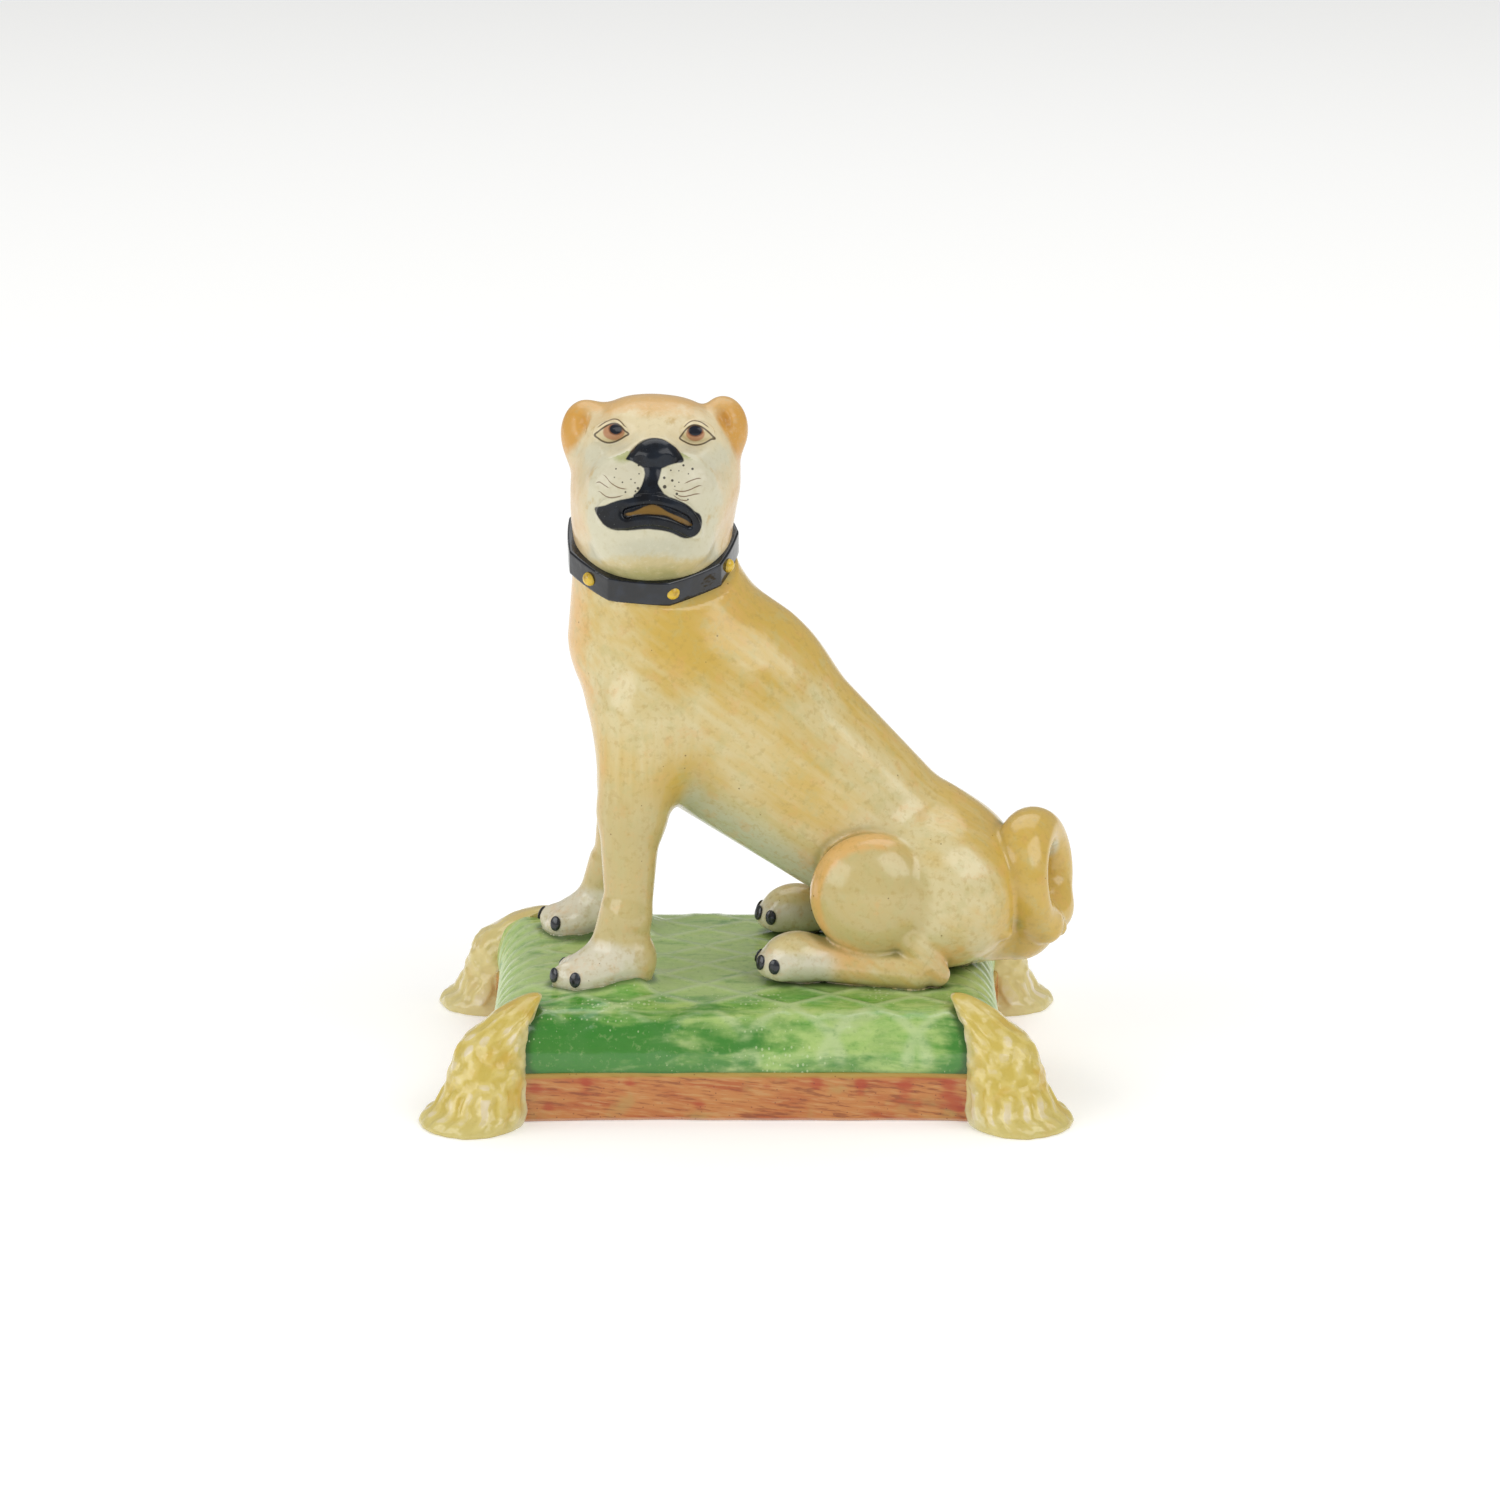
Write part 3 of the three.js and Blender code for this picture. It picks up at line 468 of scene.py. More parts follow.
def tailDistance(p):  # a ring with a floor in its eye, a root into the rump and a tip below
    c, s = cos(radians(tail["turn"])), sin(radians(tail["turn"]))
    dx, dy, dz = (p[i] - tail["at"][i] for i in range(3))
    dx = dx + tail["slant"] * dz
    along, aside = dx * c + dy * s, dy * c - dx * s
    around = np.sqrt(aside ** 2 + dz * dz)
    broad = tail["width"][0] - tail["width"][1] * np.clip(aside / tail["radius"], -1, 1)
    ring = np.sqrt((around - tail["radius"]) ** 2 + (along / broad) ** 2) - tail["thickness"]
    disc = np.abs(along + tail["floorOffset"]) - tail["floorHalf"]
    solid = join(ring, strand(p, tail["root"], tail["rootRadii"]), tail["rootBlend"])
    solid = join(solid, strand(p, tail["tip"], tail["tipRadii"]), tail["tipBlend"])
    return join(solid, np.maximum(around - tail["floorRadius"], disc), tail["floorBlend"])


# Head: turned to the viewer and tipped back; places on it are right, up and forward of its middle

head = {
    "at": (-15.2, -1.0, 95.0), "pitch": 15, "cell": 0.25, "low": (-32, -18, 80), "high": (4, 17, 113),
    "skullAt": (0.3, 3.4, -1.0), "skullHalf": (13.4, 11.45, 11.8), "skullRadius": 10.5, "blend": 2.5,
    "noseAt": (0.4, 4.7, 12.0), "noseSize": (4.2, 4.0, 3.0), "noseFoot": 4.0, "noseLip": 2.4,
    "noseBlend": 0.7, "lipMiddle": 0.7, "lipDrop": 2.75, "lipSlope": 0.13, "lipBend": 0.05, "lipHalf": 4.6,
    "rimReach": 2.3, "rimHeight": 0.5, "rimLeft": 2.6, "rimBlend": 0.9,
    "mouthReach": 0.75, "mouthDepth": 0.75, "mouthBlend": 0.7,
    "earSize": (4.0, 5.3, 3.9), "earTwist": 14, "earOut": (10.9, 10.9), "earUp": (9.9, 10.5), "earBack": 0.5,
    "earBlend": (2.6, 1.4), "hollowSize": (1.6, 3.4, 2.4), "hollowIn": 0.2, "hollowRise": 0.4,
    "hollowFront": 4.0, "hollowBlend": 0.8,
}
skullForms = [
    {"at": (-1.0, -3.5, 0), "size": (11.1, 11.0, 11.6), "blend": 4},
    {"at": (-0.6, 8.9, -1.5), "size": (9.2, 6.6, 8.0), "blend": 4},
    {"at": (0, -1.6, 8.2), "size": (9.6, 8.0, 5.5), "blend": 6},
    {"at": (0, -8.6, 7.0), "size": (8.2, 4.2, 4.8), "blend": 3},
]
faceForms = [
    {"at": (4.9, 1.6, 10.8), "size": (4.6, 3.5, 3.0), "blend": 2.4},
    {"at": (6.8, 9.7, 10.3), "size": (3.9, 2.6, 2.8), "blend": 2, "cut": True},
    {"at": (6.7, 9.7, 6.9), "size": (2.9, 1.9, 2.2), "blend": 0.4},
]
ridgeForm = [{"at": (0.1, 2.0, 12.1), "size": (1.7, 3.8, 2.3), "blend": 1.4}]
nostrilForm = [{"at": (2.5, 5.0, 15.0), "size": (1.0, 0.7, 0.7), "blend": 0.8, "cut": True}]


def headDistance(p):
    h = head
    u, v, w = q = tipped(p, h["at"], h["pitch"])
    sides = [np.abs(q[i] - h["skullAt"][i]) - h["skullHalf"][i] + h["skullRadius"] for i in range(3)]
    outside = np.sqrt(sum(np.maximum(side, 0) ** 2 for side in sides))
    block = outside + np.minimum(np.maximum.reduce(sides), 0) - h["skullRadius"]
    mirrored = (np.abs(u), v, w)
    solid = sculpt(mirrored, faceForms, sculpt(q, skullForms, block))
    nose = carve(egg(q, h["noseAt"], h["noseSize"]), v - h["noseFoot"], h["noseLip"])
    solid = join(solid, nose, h["noseBlend"])
    solid = sculpt(mirrored, nostrilForm, sculpt(q, ridgeForm, solid))
    across = u - h["lipMiddle"]
    bent = np.maximum(across, -h["lipHalf"])
    line = -h["lipDrop"] - h["lipSlope"] * bent - h["lipBend"] * bent ** 2
    fromLine = np.hypot(v - line, np.maximum(np.abs(across) - h["lipHalf"], 0))
    further = h["rimLeft"] / 2
    fromRim = np.hypot(v - line, np.maximum(np.abs(across + further) - h["lipHalf"] - further, 0))
    rim = np.maximum(fromRim - h["rimReach"], solid - h["rimHeight"])
    solid = join(solid, rim, h["rimBlend"])
    mouth = np.maximum(fromLine - h["mouthReach"], -solid - h["mouthDepth"])
    solid = carve(solid, mouth, h["mouthBlend"])
    for side, out, up, blend in zip((-1, 1), h["earOut"], h["earUp"], h["earBlend"]):
        lean = side * h["earTwist"]
        ear = egg(q, (side * out, up, -h["earBack"]), h["earSize"], lean)
        hollowAt = (side * (out - h["hollowIn"]), up + h["hollowRise"], h["hollowFront"])
        ear = carve(ear, egg(q, hollowAt, h["hollowSize"], lean), h["hollowBlend"])
        solid = join(solid, ear, blend)
    return solid


# Collar: a facetted band that dips to the front; it covers the line where head and body meet

collar = {
    "at": (-15.7, 0.8, 86.6), "pitch": -21, "radius": 12.6, "squash": 0.96,
    "cell": 0.24, "low": (-31, -15, 77), "high": (0, 17, 97),
    "halfThickness": 1.0, "halfHeight": 2.25, "round": 0.4,
    "facets": 9, "facetDepth": 0.5, "facetShare": 0.35, "facetPhase": 1.26,
    "studAngles": (-46, 15, 64.5, 126, 184, 241), "studOut": 13.5, "studFront": 13.9, "studSize": 1.15,
    # the neck under it: its gap, where it starts to narrow, and how fast; the ease evens its slope
    "neckGap": 0.2, "neckFrom": 1.6, "neckTaper": 2, "neckEase": 0.45,
}


def collarDistance(p):
    c = collar
    u, v, w = tipped(p, c["at"], c["pitch"])
    turn = (c["facets"] * np.arctan2(u, w) + c["facetPhase"]) / (2 * pi)
    facet = c["facetDepth"] * (4 * (turn - np.round(turn)) ** 2 - c["facetShare"])
    wall = np.abs(np.hypot(u, w * c["squash"]) - c["radius"] - facet)
    sideways = wall - c["halfThickness"] + c["round"]
    upright = np.abs(v) - c["halfHeight"] + c["round"]
    corner = np.hypot(np.maximum(sideways, 0), np.maximum(upright, 0))
    return corner + np.minimum(np.maximum(sideways, upright), 0) - c["round"]


def bodyAndTail(p):
    solid = sculpt(p, [tail["boss"]], bodyDistance(p))
    return join(solid, tailDistance(p), tail["blend"])


def wholeDog(p):
    return join(bodyAndTail(p), headDistance(p), head["blend"])


def seatedBody(p):  # runs a little way into the cushion, with a fillet where it sits down
    bed = cushionDistance(p)
    solid = bodyAndTail(p)
    near = p[2] > dog["headFrom"]
    if near.any():
        solid[near] = join(solid[near], headDistance(p[:, near]), head["blend"])
    seated = join(solid, bed + dog["seatDrop"], dog["seat"])
    seated = np.maximum(np.maximum(seated, -bed - dog["sunk"]), solid - dog["seatReach"])
    # the neck narrows under the collar, so that nothing bulges past it, and ends at its middle
    u, v, w = tipped(p, collar["at"], collar["pitch"])
    neck = np.hypot(u, w * collar["squash"]) - collar["radius"] - collar["neckGap"]
    neck = neck + collar["neckTaper"] * np.minimum(v + collar["neckFrom"], 0)
    return np.maximum(np.maximum(seated, collar["neckEase"] * neck), v)


def upperHead(p):  # all that is above the collar's middle
    return np.maximum(wholeDog(p), -tipped(p, collar["at"], collar["pitch"])[1])


# Painted marks on the face, as distances from outlines drawn in the head's own plane

def smoothOutline(points, steps=8):  # a closed curve through the points
    points = np.array(points, float)
    before, after = np.roll(points, 1, 0), np.roll(points, -1, 0)
    beyond = np.roll(points, -2, 0)
    rows = []
    for k in range(steps):
        t = k / steps
        rows.append(0.5 * (2 * points + (after - before) * t
                           + (2 * before - 5 * points + 4 * after - beyond) * t ** 2
                           + (3 * points - before - 3 * after + beyond) * t ** 3))
    return np.stack(rows, 1).reshape(-1, 2)


def fromOutline(u, v, outline):  # below zero inside
    away = np.full(u.shape, 1e3)
    inside = np.zeros(u.shape, bool)
    for (ax, ay), (bx, by) in zip(outline, np.roll(outline, -1, 0)):
        rx, ry = bx - ax, by - ay
        t = np.clip(((u - ax) * rx + (v - ay) * ry) / (rx * rx + ry * ry + 1e-12), 0, 1)
        away = np.minimum(away, np.hypot(u - ax - t * rx, v - ay - t * ry))
        crosses = (ay > v) != (by > v)
        inside ^= crosses & (u < rx * (v - ay) / (ry if abs(ry) > 1e-9 else 1e-9) + ax)
    return np.where(inside, -away, away)


# The marks were measured in pixels on the face; these are the head's middle there and the scale
facePixels = {"middle": (653.1, 493.2), "perMm": 6.35}


def onFace(*places):  # millimetres to the right of the head's middle and above it
    middleX, middleY = facePixels["middle"]
    return [((x - middleX) / facePixels["perMm"], (middleY - y) / facePixels["perMm"]) for x, y in places]


face = {
    "nose": onFace((626, 460), (629, 454.5), (633, 449), (638, 444), (644, 440), (652, 438), (661, 439),
                   (668, 442), (675, 447), (680, 453), (683.5, 461.5), (676, 464), (668, 467), (660, 470.5),
                   (653, 474), (646, 470.5), (640, 466), (633, 462.3)),
    "channel": onFace((645, 466), (645, 475), (644, 480), (642, 486), (638.5, 492), (634, 498), (652, 505),
                      (669, 499), (664, 494), (661, 489), (658.5, 484), (660, 479), (661, 474), (661, 466)),
    "lips": onFace((595, 508), (600, 506.5), (606, 505.3), (613, 502.6), (621, 500.2), (629, 498.6),
                   (637, 496.5), (652, 494), (668, 497.2), (676, 499.3), (684, 503), (690, 507), (695, 511.5),
                   (700, 515), (702, 521), (701, 528), (698, 533.5), (693, 537), (687, 538.4), (680, 537),
                   (672, 533.6), (664, 531), (655, 530), (646, 529.6), (636, 530), (624, 530.6), (612, 529),
                   (605, 525), (600, 519), (596.5, 513)),
    "opening": onFace((623, 515), (628, 512.6), (634, 511), (641, 508), (648, 505.2), (655, 505), (661, 507),
                      (667, 510.6), (673, 513.8), (680, 516.8), (687, 520), (693.5, 525), (690, 527),
                      (682, 524), (676, 521.3), (670, 518.3), (662, 516.2), (652, 515.3), (640, 515.6),
                      (630, 516.8)),
    "leftEye": onFace((594, 434.5), (598, 431.2), (602, 428.2), (607, 425), (612, 423), (617, 423.3),
                      (621, 426.3), (624.5, 430.3), (628.5, 433.5), (625, 435.6), (620, 438.8), (614, 441.4),
                      (608, 442.3), (602, 440.6), (598, 437.8)),
    "rightEye": onFace((679.5, 438), (681.5, 434.5), (684, 431), (687, 427.8), (690, 425.6), (694, 424.5),
                       (699, 425.5), (703, 427.6), (707, 430.6), (711, 434.2), (714.8, 438), (711, 438.6),
                       (707, 441), (702, 443.4), (696, 444.6), (690, 443.8), (685, 441.6)),
    # middle and half size of each iris and pupil
    "iris": ((-6.2, 9.75, 1.7, 1.3), (6.6, 9.4, 1.5, 1.15)),
    "pupil": ((-5.9, 10.15, 0.95, 0.8), (6.6, 9.9, 1.05, 0.8)),
    "creaseRise": 0.72,
    # each whisker pad's middle and half size, both sides of the nose's middle
    "padMiddle": 0.4, "padAt": (5.3, 1.7), "padSize": (4.0, 3.3),
    "behind": 9,  # added to each mark on the back of the head, so that nothing shows there
}
# spots on the whisker pads: place and radius
padSpots = [(*onFace((x, y))[0], r) for x, y, r in (
    (683.5, 466, 0.2), (692.5, 469.5, 0.22), (671, 471, 0.15), (679, 471.5, 0.12), (688.5, 474.5, 0.13),
    (664.5, 478.5, 0.23), (672.5, 481.2, 0.23), (679, 483, 0.13), (675, 487, 0.12), (665, 487.5, 0.31),
    (677, 494.5, 0.22), (688, 500, 0.15), (616.5, 469.5, 0.15), (639, 466, 0.18), (639.5, 474.5, 0.14),
    (623, 483, 0.15), (631.5, 480, 0.13), (635.5, 483.5, 0.14), (638.5, 489, 0.24), (636, 492, 0.17),
    (626, 492.7, 0.17), (615, 478, 0.12), (645, 487, 0.12))]
# whiskers, each as the line it follows
whiskers = [onFace(*line) for line in (
    ((683, 485), (687, 483), (693, 480.5), (699, 479), (703, 480)),
    ((671, 488), (676, 491), (683, 492), (690, 490.3), (696, 487.5), (700, 486.2), (705, 487.5)),
    ((674, 491), (677, 495), (683, 497), (690, 496), (696, 494.5), (703, 494.5)),
    ((672, 494), (678, 499), (684, 501), (690, 500)),
    ((601, 475), (604, 475.5), (607, 478), (610, 482), (615, 486), (621, 488.8), (630, 489.6)),
    ((595, 484.5), (600, 482.5), (603, 484.3), (607, 487), (611, 489.5)),
    ((596, 493), (600, 492), (603, 494.3), (607, 497), (612, 498.2), (618, 497.5), (626, 495)),
)]


def facePaints(points, normals):
    u, v, w = tipped(points.astype(float), head["at"], head["pitch"])
    far = np.where(w > 0, 0, face["behind"])

    def outlined(name, rise=0):
        return fromOutline(u, v - rise, smoothOutline(face[name]))

    def ringed(name):  # below zero inside either ellipse
        return np.minimum.reduce([np.hypot((u - a) / ra, (v - b) / rb) - 1 for a, b, ra, rb in face[name]])

    (padOut, padUp), (padWidth, padHeight) = face["padAt"], face["padSize"]
    marks = {
        "ink": np.minimum.reduce([outlined(name) for name in ("nose", "channel", "lips")]),
        "opening": outlined("opening"),
        "eye": np.minimum(outlined("leftEye"), outlined("rightEye")),
        "iris": ringed("iris"),
        "pupil": ringed("pupil"),
        "crease": np.minimum(*[outlined(name, face["creaseRise"]) for name in ("leftEye", "rightEye")]),
        "pad": np.hypot((np.abs(u - face["padMiddle"]) - padOut) / padWidth, (v - padUp) / padHeight),
    }
    marks = {name: mark + far for name, mark in marks.items()}
    facing = tipped(points + normals, head["at"], head["pitch"])[2] - w
    return {**marks, "facing": facing, "faceUp": v, "faceOut": u}


# Geometry Nodes: what every tree takes and gives, and a curve drawn through its knots

def newTree(name, start, sizes, result):
    tree = bpy.data.node_groups.new(name, "GeometryNodeTree")
    tree.interface.new_socket(start, in_out="INPUT", socket_type="NodeSocketGeometry")
    for size, value in sizes.items():
        tree.interface.new_socket(size, in_out="INPUT", socket_type="NodeSocketFloat").default_value = value
    tree.interface.new_socket("Finish", in_out="INPUT", socket_type="NodeSocketMaterial")
    tree.interface.new_socket(result, in_out="OUTPUT", socket_type="NodeSocketGeometry")
    return tree, addNode(tree, "NodeGroupInput").outputs


def shapeCurve(mapping, places, handle):
    knots = mapping.curves[0].points
    while len(knots) < len(places):
        knots.new(0.5, 0.5)
    for knot, place in zip(knots, places):
        knot.location = place
        knot.handle_type = handle
    mapping.update()


# Small beads on named places: a mesh of points, each with the direction it faces

def makeBeadTree():
    sizes = {"Width": 1.0, "Height": 1.0, "Thickness": 1.0}
    tree, given = newTree("beadsOnPlaces", "Places", sizes, "Beads")
    bead = addNode(tree, "GeometryNodeMeshUVSphere", {"Segments": 28, "Rings": 18, "Radius": 1.0})
    outward = addNode(tree, "GeometryNodeInputNamedAttribute", {"Name": "outward"}, data_type="FLOAT_VECTOR")
    facing = addNode(tree, "FunctionNodeAlignRotationToVector", {"Vector": outward}, axis="Z")
    upright = addNode(tree, "FunctionNodeAlignRotationToVector",
                      {"Rotation": facing, "Vector": (0, 0, 1)}, axis="Y", pivot_axis="Z")
    size = addNode(tree, "ShaderNodeCombineXYZ",
                   {"X": given["Width"], "Y": given["Height"], "Z": given["Thickness"]})
    beads = addNode(tree, "GeometryNodeInstanceOnPoints",
                    {"Points": given["Places"], "Instance": bead, "Rotation": upright, "Scale": size})
    real = addNode(tree, "GeometryNodeRealizeInstances", {"Geometry": beads})
    smooth = addNode(tree, "GeometryNodeSetShadeSmooth", {"Geometry": real})
    coated = addNode(tree, "GeometryNodeSetMaterial", {"Geometry": smooth, "Material": given["Finish"]})
    addNode(tree, "NodeGroupOutput", {"Beads": coated})
    return tree


# Tassels: rings on a curved axis, netted above and fluted below, one tree for all four

tassel = {
    "around": 169, "along": 120, "backForward": 0.9, "backHeight": 0.97,
    # height, radius, and how far the ring's middle is out and to the front, and the most of each
    "rings": [(0.0, 0.0, 43.5, 30.3), (0.0, 7.9, 43.5, 30.3), (0.5, 8.4, 43.4, 30.3), (1.6, 8.1, 43.0, 30.1),
              (2.8, 7.2, 42.1, 29.8), (4.4, 6.75, 41.7, 29.4), (6.0, 6.5, 41.3, 29.2), (9.0, 6.0, 40.9, 28.8),
              (12.7, 5.2, 40.0, 28.1), (15.5, 3.9, 37.9, 27.0), (17.5, 2.9, 35.9, 25.8),
              (19.0, 1.5, 33.8, 24.4), (19.4, 0.0, 33.2, 24.0)],
    "most": (20.0, 10.0, 50.0, 40.0),
}
tasselSizes = {
    "Flutes": 15.0, "Flute Depth": 0.3, "Knots": 8.0, "Knot Height": 0.24, "Row Pitch": 4.0,
    "Skirt Top": 5.4, "Unevenness": 1.5, "Seed": 4.0,
}


def makeTasselTree():
    s = tassel
    tree, given = newTree("corneredTassels", "Start", tasselSizes, "Tassels")
    grid = addNode(tree, "GeometryNodeMeshGrid", {"Size X": 1.0, "Size Y": 1.0,
                                                  "Vertices X": s["around"], "Vertices Y": s["along"]})
    place = addNode(tree, "ShaderNodeSeparateXYZ", {0: addNode(tree, "GeometryNodeInputPosition")}).outputs
    turn = addNode(tree, "ShaderNodeMath", {0: place[0], 1: 2 * pi, 2: pi}, operation="MULTIPLY_ADD")
    along = addNode(tree, "ShaderNodeMath", {0: place[1], 1: 0.5}, operation="ADD")
    cosine = addNode(tree, "ShaderNodeMath", {0: turn}, operation="COSINE")
    sine = addNode(tree, "ShaderNodeMath", {0: turn}, operation="SINE")
    # each ring's share of the length follows the profile's own length
    steps = [0.0]
    for a, b in zip(s["rings"], s["rings"][1:]):
        steps.append(steps[-1] + ((a[0] - b[0]) ** 2 + (a[1] - b[1]) ** 2 + 0.3 * (a[2] - b[2]) ** 2) ** 0.5)
    profile = []
    for column, most in enumerate(s["most"]):
        curve = addNode(tree, "ShaderNodeFloatCurve", {"Value": along})
        places = [(step / steps[-1], ring[column] / most) for step, ring in zip(steps, s["rings"])]
        shapeCurve(curve.mapping, places, "AUTO_CLAMPED")
        profile.append(addNode(tree, "ShaderNodeMath", {0: curve, 1: most}, operation="MULTIPLY"))
    height, radius, out, front = profile
    # knots in staggered rows: the rise is greatest where both waves agree
    rise = addNode(tree, "ShaderNodeMath", {0: height, 1: 6.0}, operation="DIVIDE")
    drawn = addNode(tree, "ShaderNodeCombineXYZ", {"X": cosine, "Y": sine, "Z": rise})
    shift = addNode(tree, "ShaderNodeTexNoise",
                    {"Vector": drawn, "W": given["Seed"], "Scale": 1.6, "Detail": 1.0},
                    noise_dimensions="4D").outputs["Color"]
    shift = addNode(tree, "ShaderNodeVectorMath", {0: shift, 1: (0.5, 0.5, 0.5)}, operation="SUBTRACT")
    shift = addNode(tree, "ShaderNodeSeparateXYZ", {0: shift}).outputs
    bent = addNode(tree, "ShaderNodeMath", {0: shift[0], 1: 0.5, 2: turn}, operation="MULTIPLY_ADD")
    knotTurn = addNode(tree, "ShaderNodeMath", {0: bent, 1: given["Knots"]}, operation="MULTIPLY")
    raised = addNode(tree, "ShaderNodeMath", {0: shift[1], 1: 3.2, 2: height}, operation="MULTIPLY_ADD")
    row = addNode(tree, "ShaderNodeMath", {0: raised, 1: given["Row Pitch"]}, operation="DIVIDE")
    rowTurn = addNode(tree, "ShaderNodeMath", {0: row, 1: 2 * pi}, operation="MULTIPLY")
    across = addNode(tree, "ShaderNodeMath", {0: knotTurn}, operation="COSINE")
    up = addNode(tree, "ShaderNodeMath", {0: rowTurn}, operation="COSINE")
    weave = addNode(tree, "ShaderNodeMath", {0: across, 1: up}, operation="MULTIPLY")
    knotRise = addNode(tree, "ShaderNodeMapRange", {"Value": weave, "From Min": -0.75, "From Max": 0.75},
                       interpolation_type="SMOOTHSTEP")
    netFull = addNode(tree, "ShaderNodeMath", {0: given["Skirt Top"], 1: 1.2}, operation="ADD")
    netted = addNode(tree, "ShaderNodeMapRange",
                     {"Value": height, "From Min": given["Skirt Top"], "From Max": netFull},
                     interpolation_type="SMOOTHSTEP")
    ending = addNode(tree, "ShaderNodeMapRange", {"Value": height, "From Min": 19.2, "From Max": 16.5},
                     interpolation_type="SMOOTHSTEP")
    net = addNode(tree, "ShaderNodeMath", {0: netted, 1: ending}, operation="MULTIPLY")
    netRelief = addNode(tree, "ShaderNodeMath", {0: knotRise, 1: net}, operation="MULTIPLY")
    # flutes round the skirt, which fade towards the foot
    fluteTurn = addNode(tree, "ShaderNodeMath", {0: bent, 1: given["Flutes"]}, operation="MULTIPLY")
    fluteWave = addNode(tree, "ShaderNodeMath", {0: fluteTurn}, operation="COSINE")
    fluteRise = addNode(tree, "ShaderNodeMapRange", {"Value": fluteWave, "From Min": -1.0, "From Max": 0.55},
                        interpolation_type="SMOOTHSTEP")
    skirt = addNode(tree, "ShaderNodeMath", {0: 1.0, 1: netted}, operation="SUBTRACT")
    foot = addNode(tree, "ShaderNodeMapRange", {"Value": height, "From Min": 0.3, "From Max": 2.2},
                   interpolation_type="SMOOTHSTEP")
    lower = addNode(tree, "ShaderNodeMath", {0: skirt, 1: foot}, operation="MULTIPLY")
    skirtRelief = addNode(tree, "ShaderNodeMath", {0: fluteRise, 1: lower}, operation="MULTIPLY")
    relief = addNode(tree, "ShaderNodeMath", {0: netRelief, 1: skirtRelief}, operation="ADD")
    netStep = addNode(tree, "ShaderNodeMath", {0: netRelief, 1: given["Knot Height"]}, operation="MULTIPLY")
    bothSteps = addNode(tree, "ShaderNodeMath", {0: skirtRelief, 1: given["Flute Depth"], 2: netStep},
                        operation="MULTIPLY_ADD")
    # the whole form is a little uneven, and nothing moves where it closes on its axis
    ringSpot = addNode(tree, "ShaderNodeCombineXYZ", {"X": cosine, "Y": sine})
    axis = addNode(tree, "ShaderNodeCombineXYZ", {"X": out, "Y": front, "Z": height})
    plain = addNode(tree, "ShaderNodeVectorMath", {0: ringSpot, 1: radius, 2: axis}, operation="MULTIPLY_ADD")
    uneven = addNode(tree, "ShaderNodeTexNoise",
                     {"Vector": plain, "W": given["Seed"], "Scale": 0.22, "Detail": 2.0},
                     noise_dimensions="4D")
    sway = addNode(tree, "ShaderNodeMath", {0: uneven, 1: 0.5}, operation="SUBTRACT")
    gone = addNode(tree, "ShaderNodeMapRange", {"Value": radius, "From Min": 0.0, "From Max": 2.5})
    swayStep = addNode(tree, "ShaderNodeMath", {0: sway, 1: given["Unevenness"], 2: bothSteps},
                       operation="MULTIPLY_ADD")
    step = addNode(tree, "ShaderNodeMath", {0: swayStep, 1: gone}, operation="MULTIPLY")
    fuller = addNode(tree, "ShaderNodeMath", {0: radius, 1: step}, operation="ADD")
    spot = addNode(tree, "ShaderNodeVectorMath", {0: ringSpot, 1: fuller, 2: axis}, operation="MULTIPLY_ADD")
    metres = addNode(tree, "ShaderNodeVectorMath", {0: spot, "Scale": mm}, operation="SCALE")
    inward = addNode(tree, "ShaderNodeMath", {0: cosine, 1: -1.0}, operation="MULTIPLY")
    shaped = grid
    for name, value in (("relief", relief), ("rise", height), ("inward", inward)):
        shaped = addNode(tree, "GeometryNodeStoreNamedAttribute",
                         {"Geometry": shaped, "Name": name, "Value": value}, data_type="FLOAT")
    shaped = addNode(tree, "GeometryNodeSetPosition", {"Geometry": shaped, "Position": metres})
    closed = addNode(tree, "GeometryNodeMergeByDistance", {"Geometry": shaped, "Distance": 0.00002})
    corners = addNode(tree, "GeometryNodeJoinGeometry")
    for x, y in ((1, 1), (-1, 1), (1, -1), (-1, -1)):
        corner = addNode(tree, "GeometryNodeTransform", {
            "Geometry": closed, "Scale": (x, y, s["backHeight"] if y > 0 else 1),
            "Translation": (cushion["middleX"] * mm, -s["backForward"] * mm if y > 0 else 0, 0)})
        if x * y < 0:
            corner = addNode(tree, "GeometryNodeFlipFaces", {"Mesh": corner})
        tree.links.new(corners.inputs[0], corner.outputs[0])
    smooth = addNode(tree, "GeometryNodeSetShadeSmooth", {"Geometry": corners})
    real = addNode(tree, "GeometryNodeRealizeInstances", {"Geometry": smooth})
    coated = addNode(tree, "GeometryNodeSetMaterial", {"Geometry": real, "Material": given["Finish"]})
    addNode(tree, "NodeGroupOutput", {"Tassels": coated})
    return tree


def grow(name, tree, start, sizes, finish):  # the tree's result as a plain mesh
    shaper = start.modifiers.new(name, "NODES")
    shaper.node_group = tree
    for item in tree.interface.items_tree:
        if item.in_out == "INPUT" and item.name in sizes:
            shaper[item.identifier] = sizes[item.name]
        if item.in_out == "INPUT" and item.name == "Finish":
            shaper[item.identifier] = finish
    ready = start.evaluated_get(bpy.context.evaluated_depsgraph_get())
    mesh = bpy.data.meshes.new_from_object(ready)
    mesh.name = name
    start.modifiers.remove(shaper)
    bpy.data.objects.remove(start)
    piece = bpy.data.objects.new(name, mesh)
    bpy.context.scene.collection.objects.link(piece)
    print(name, len(mesh.vertices), "points", sum(len(p.vertices) - 2 for p in mesh.polygons), "triangles")
    return piece


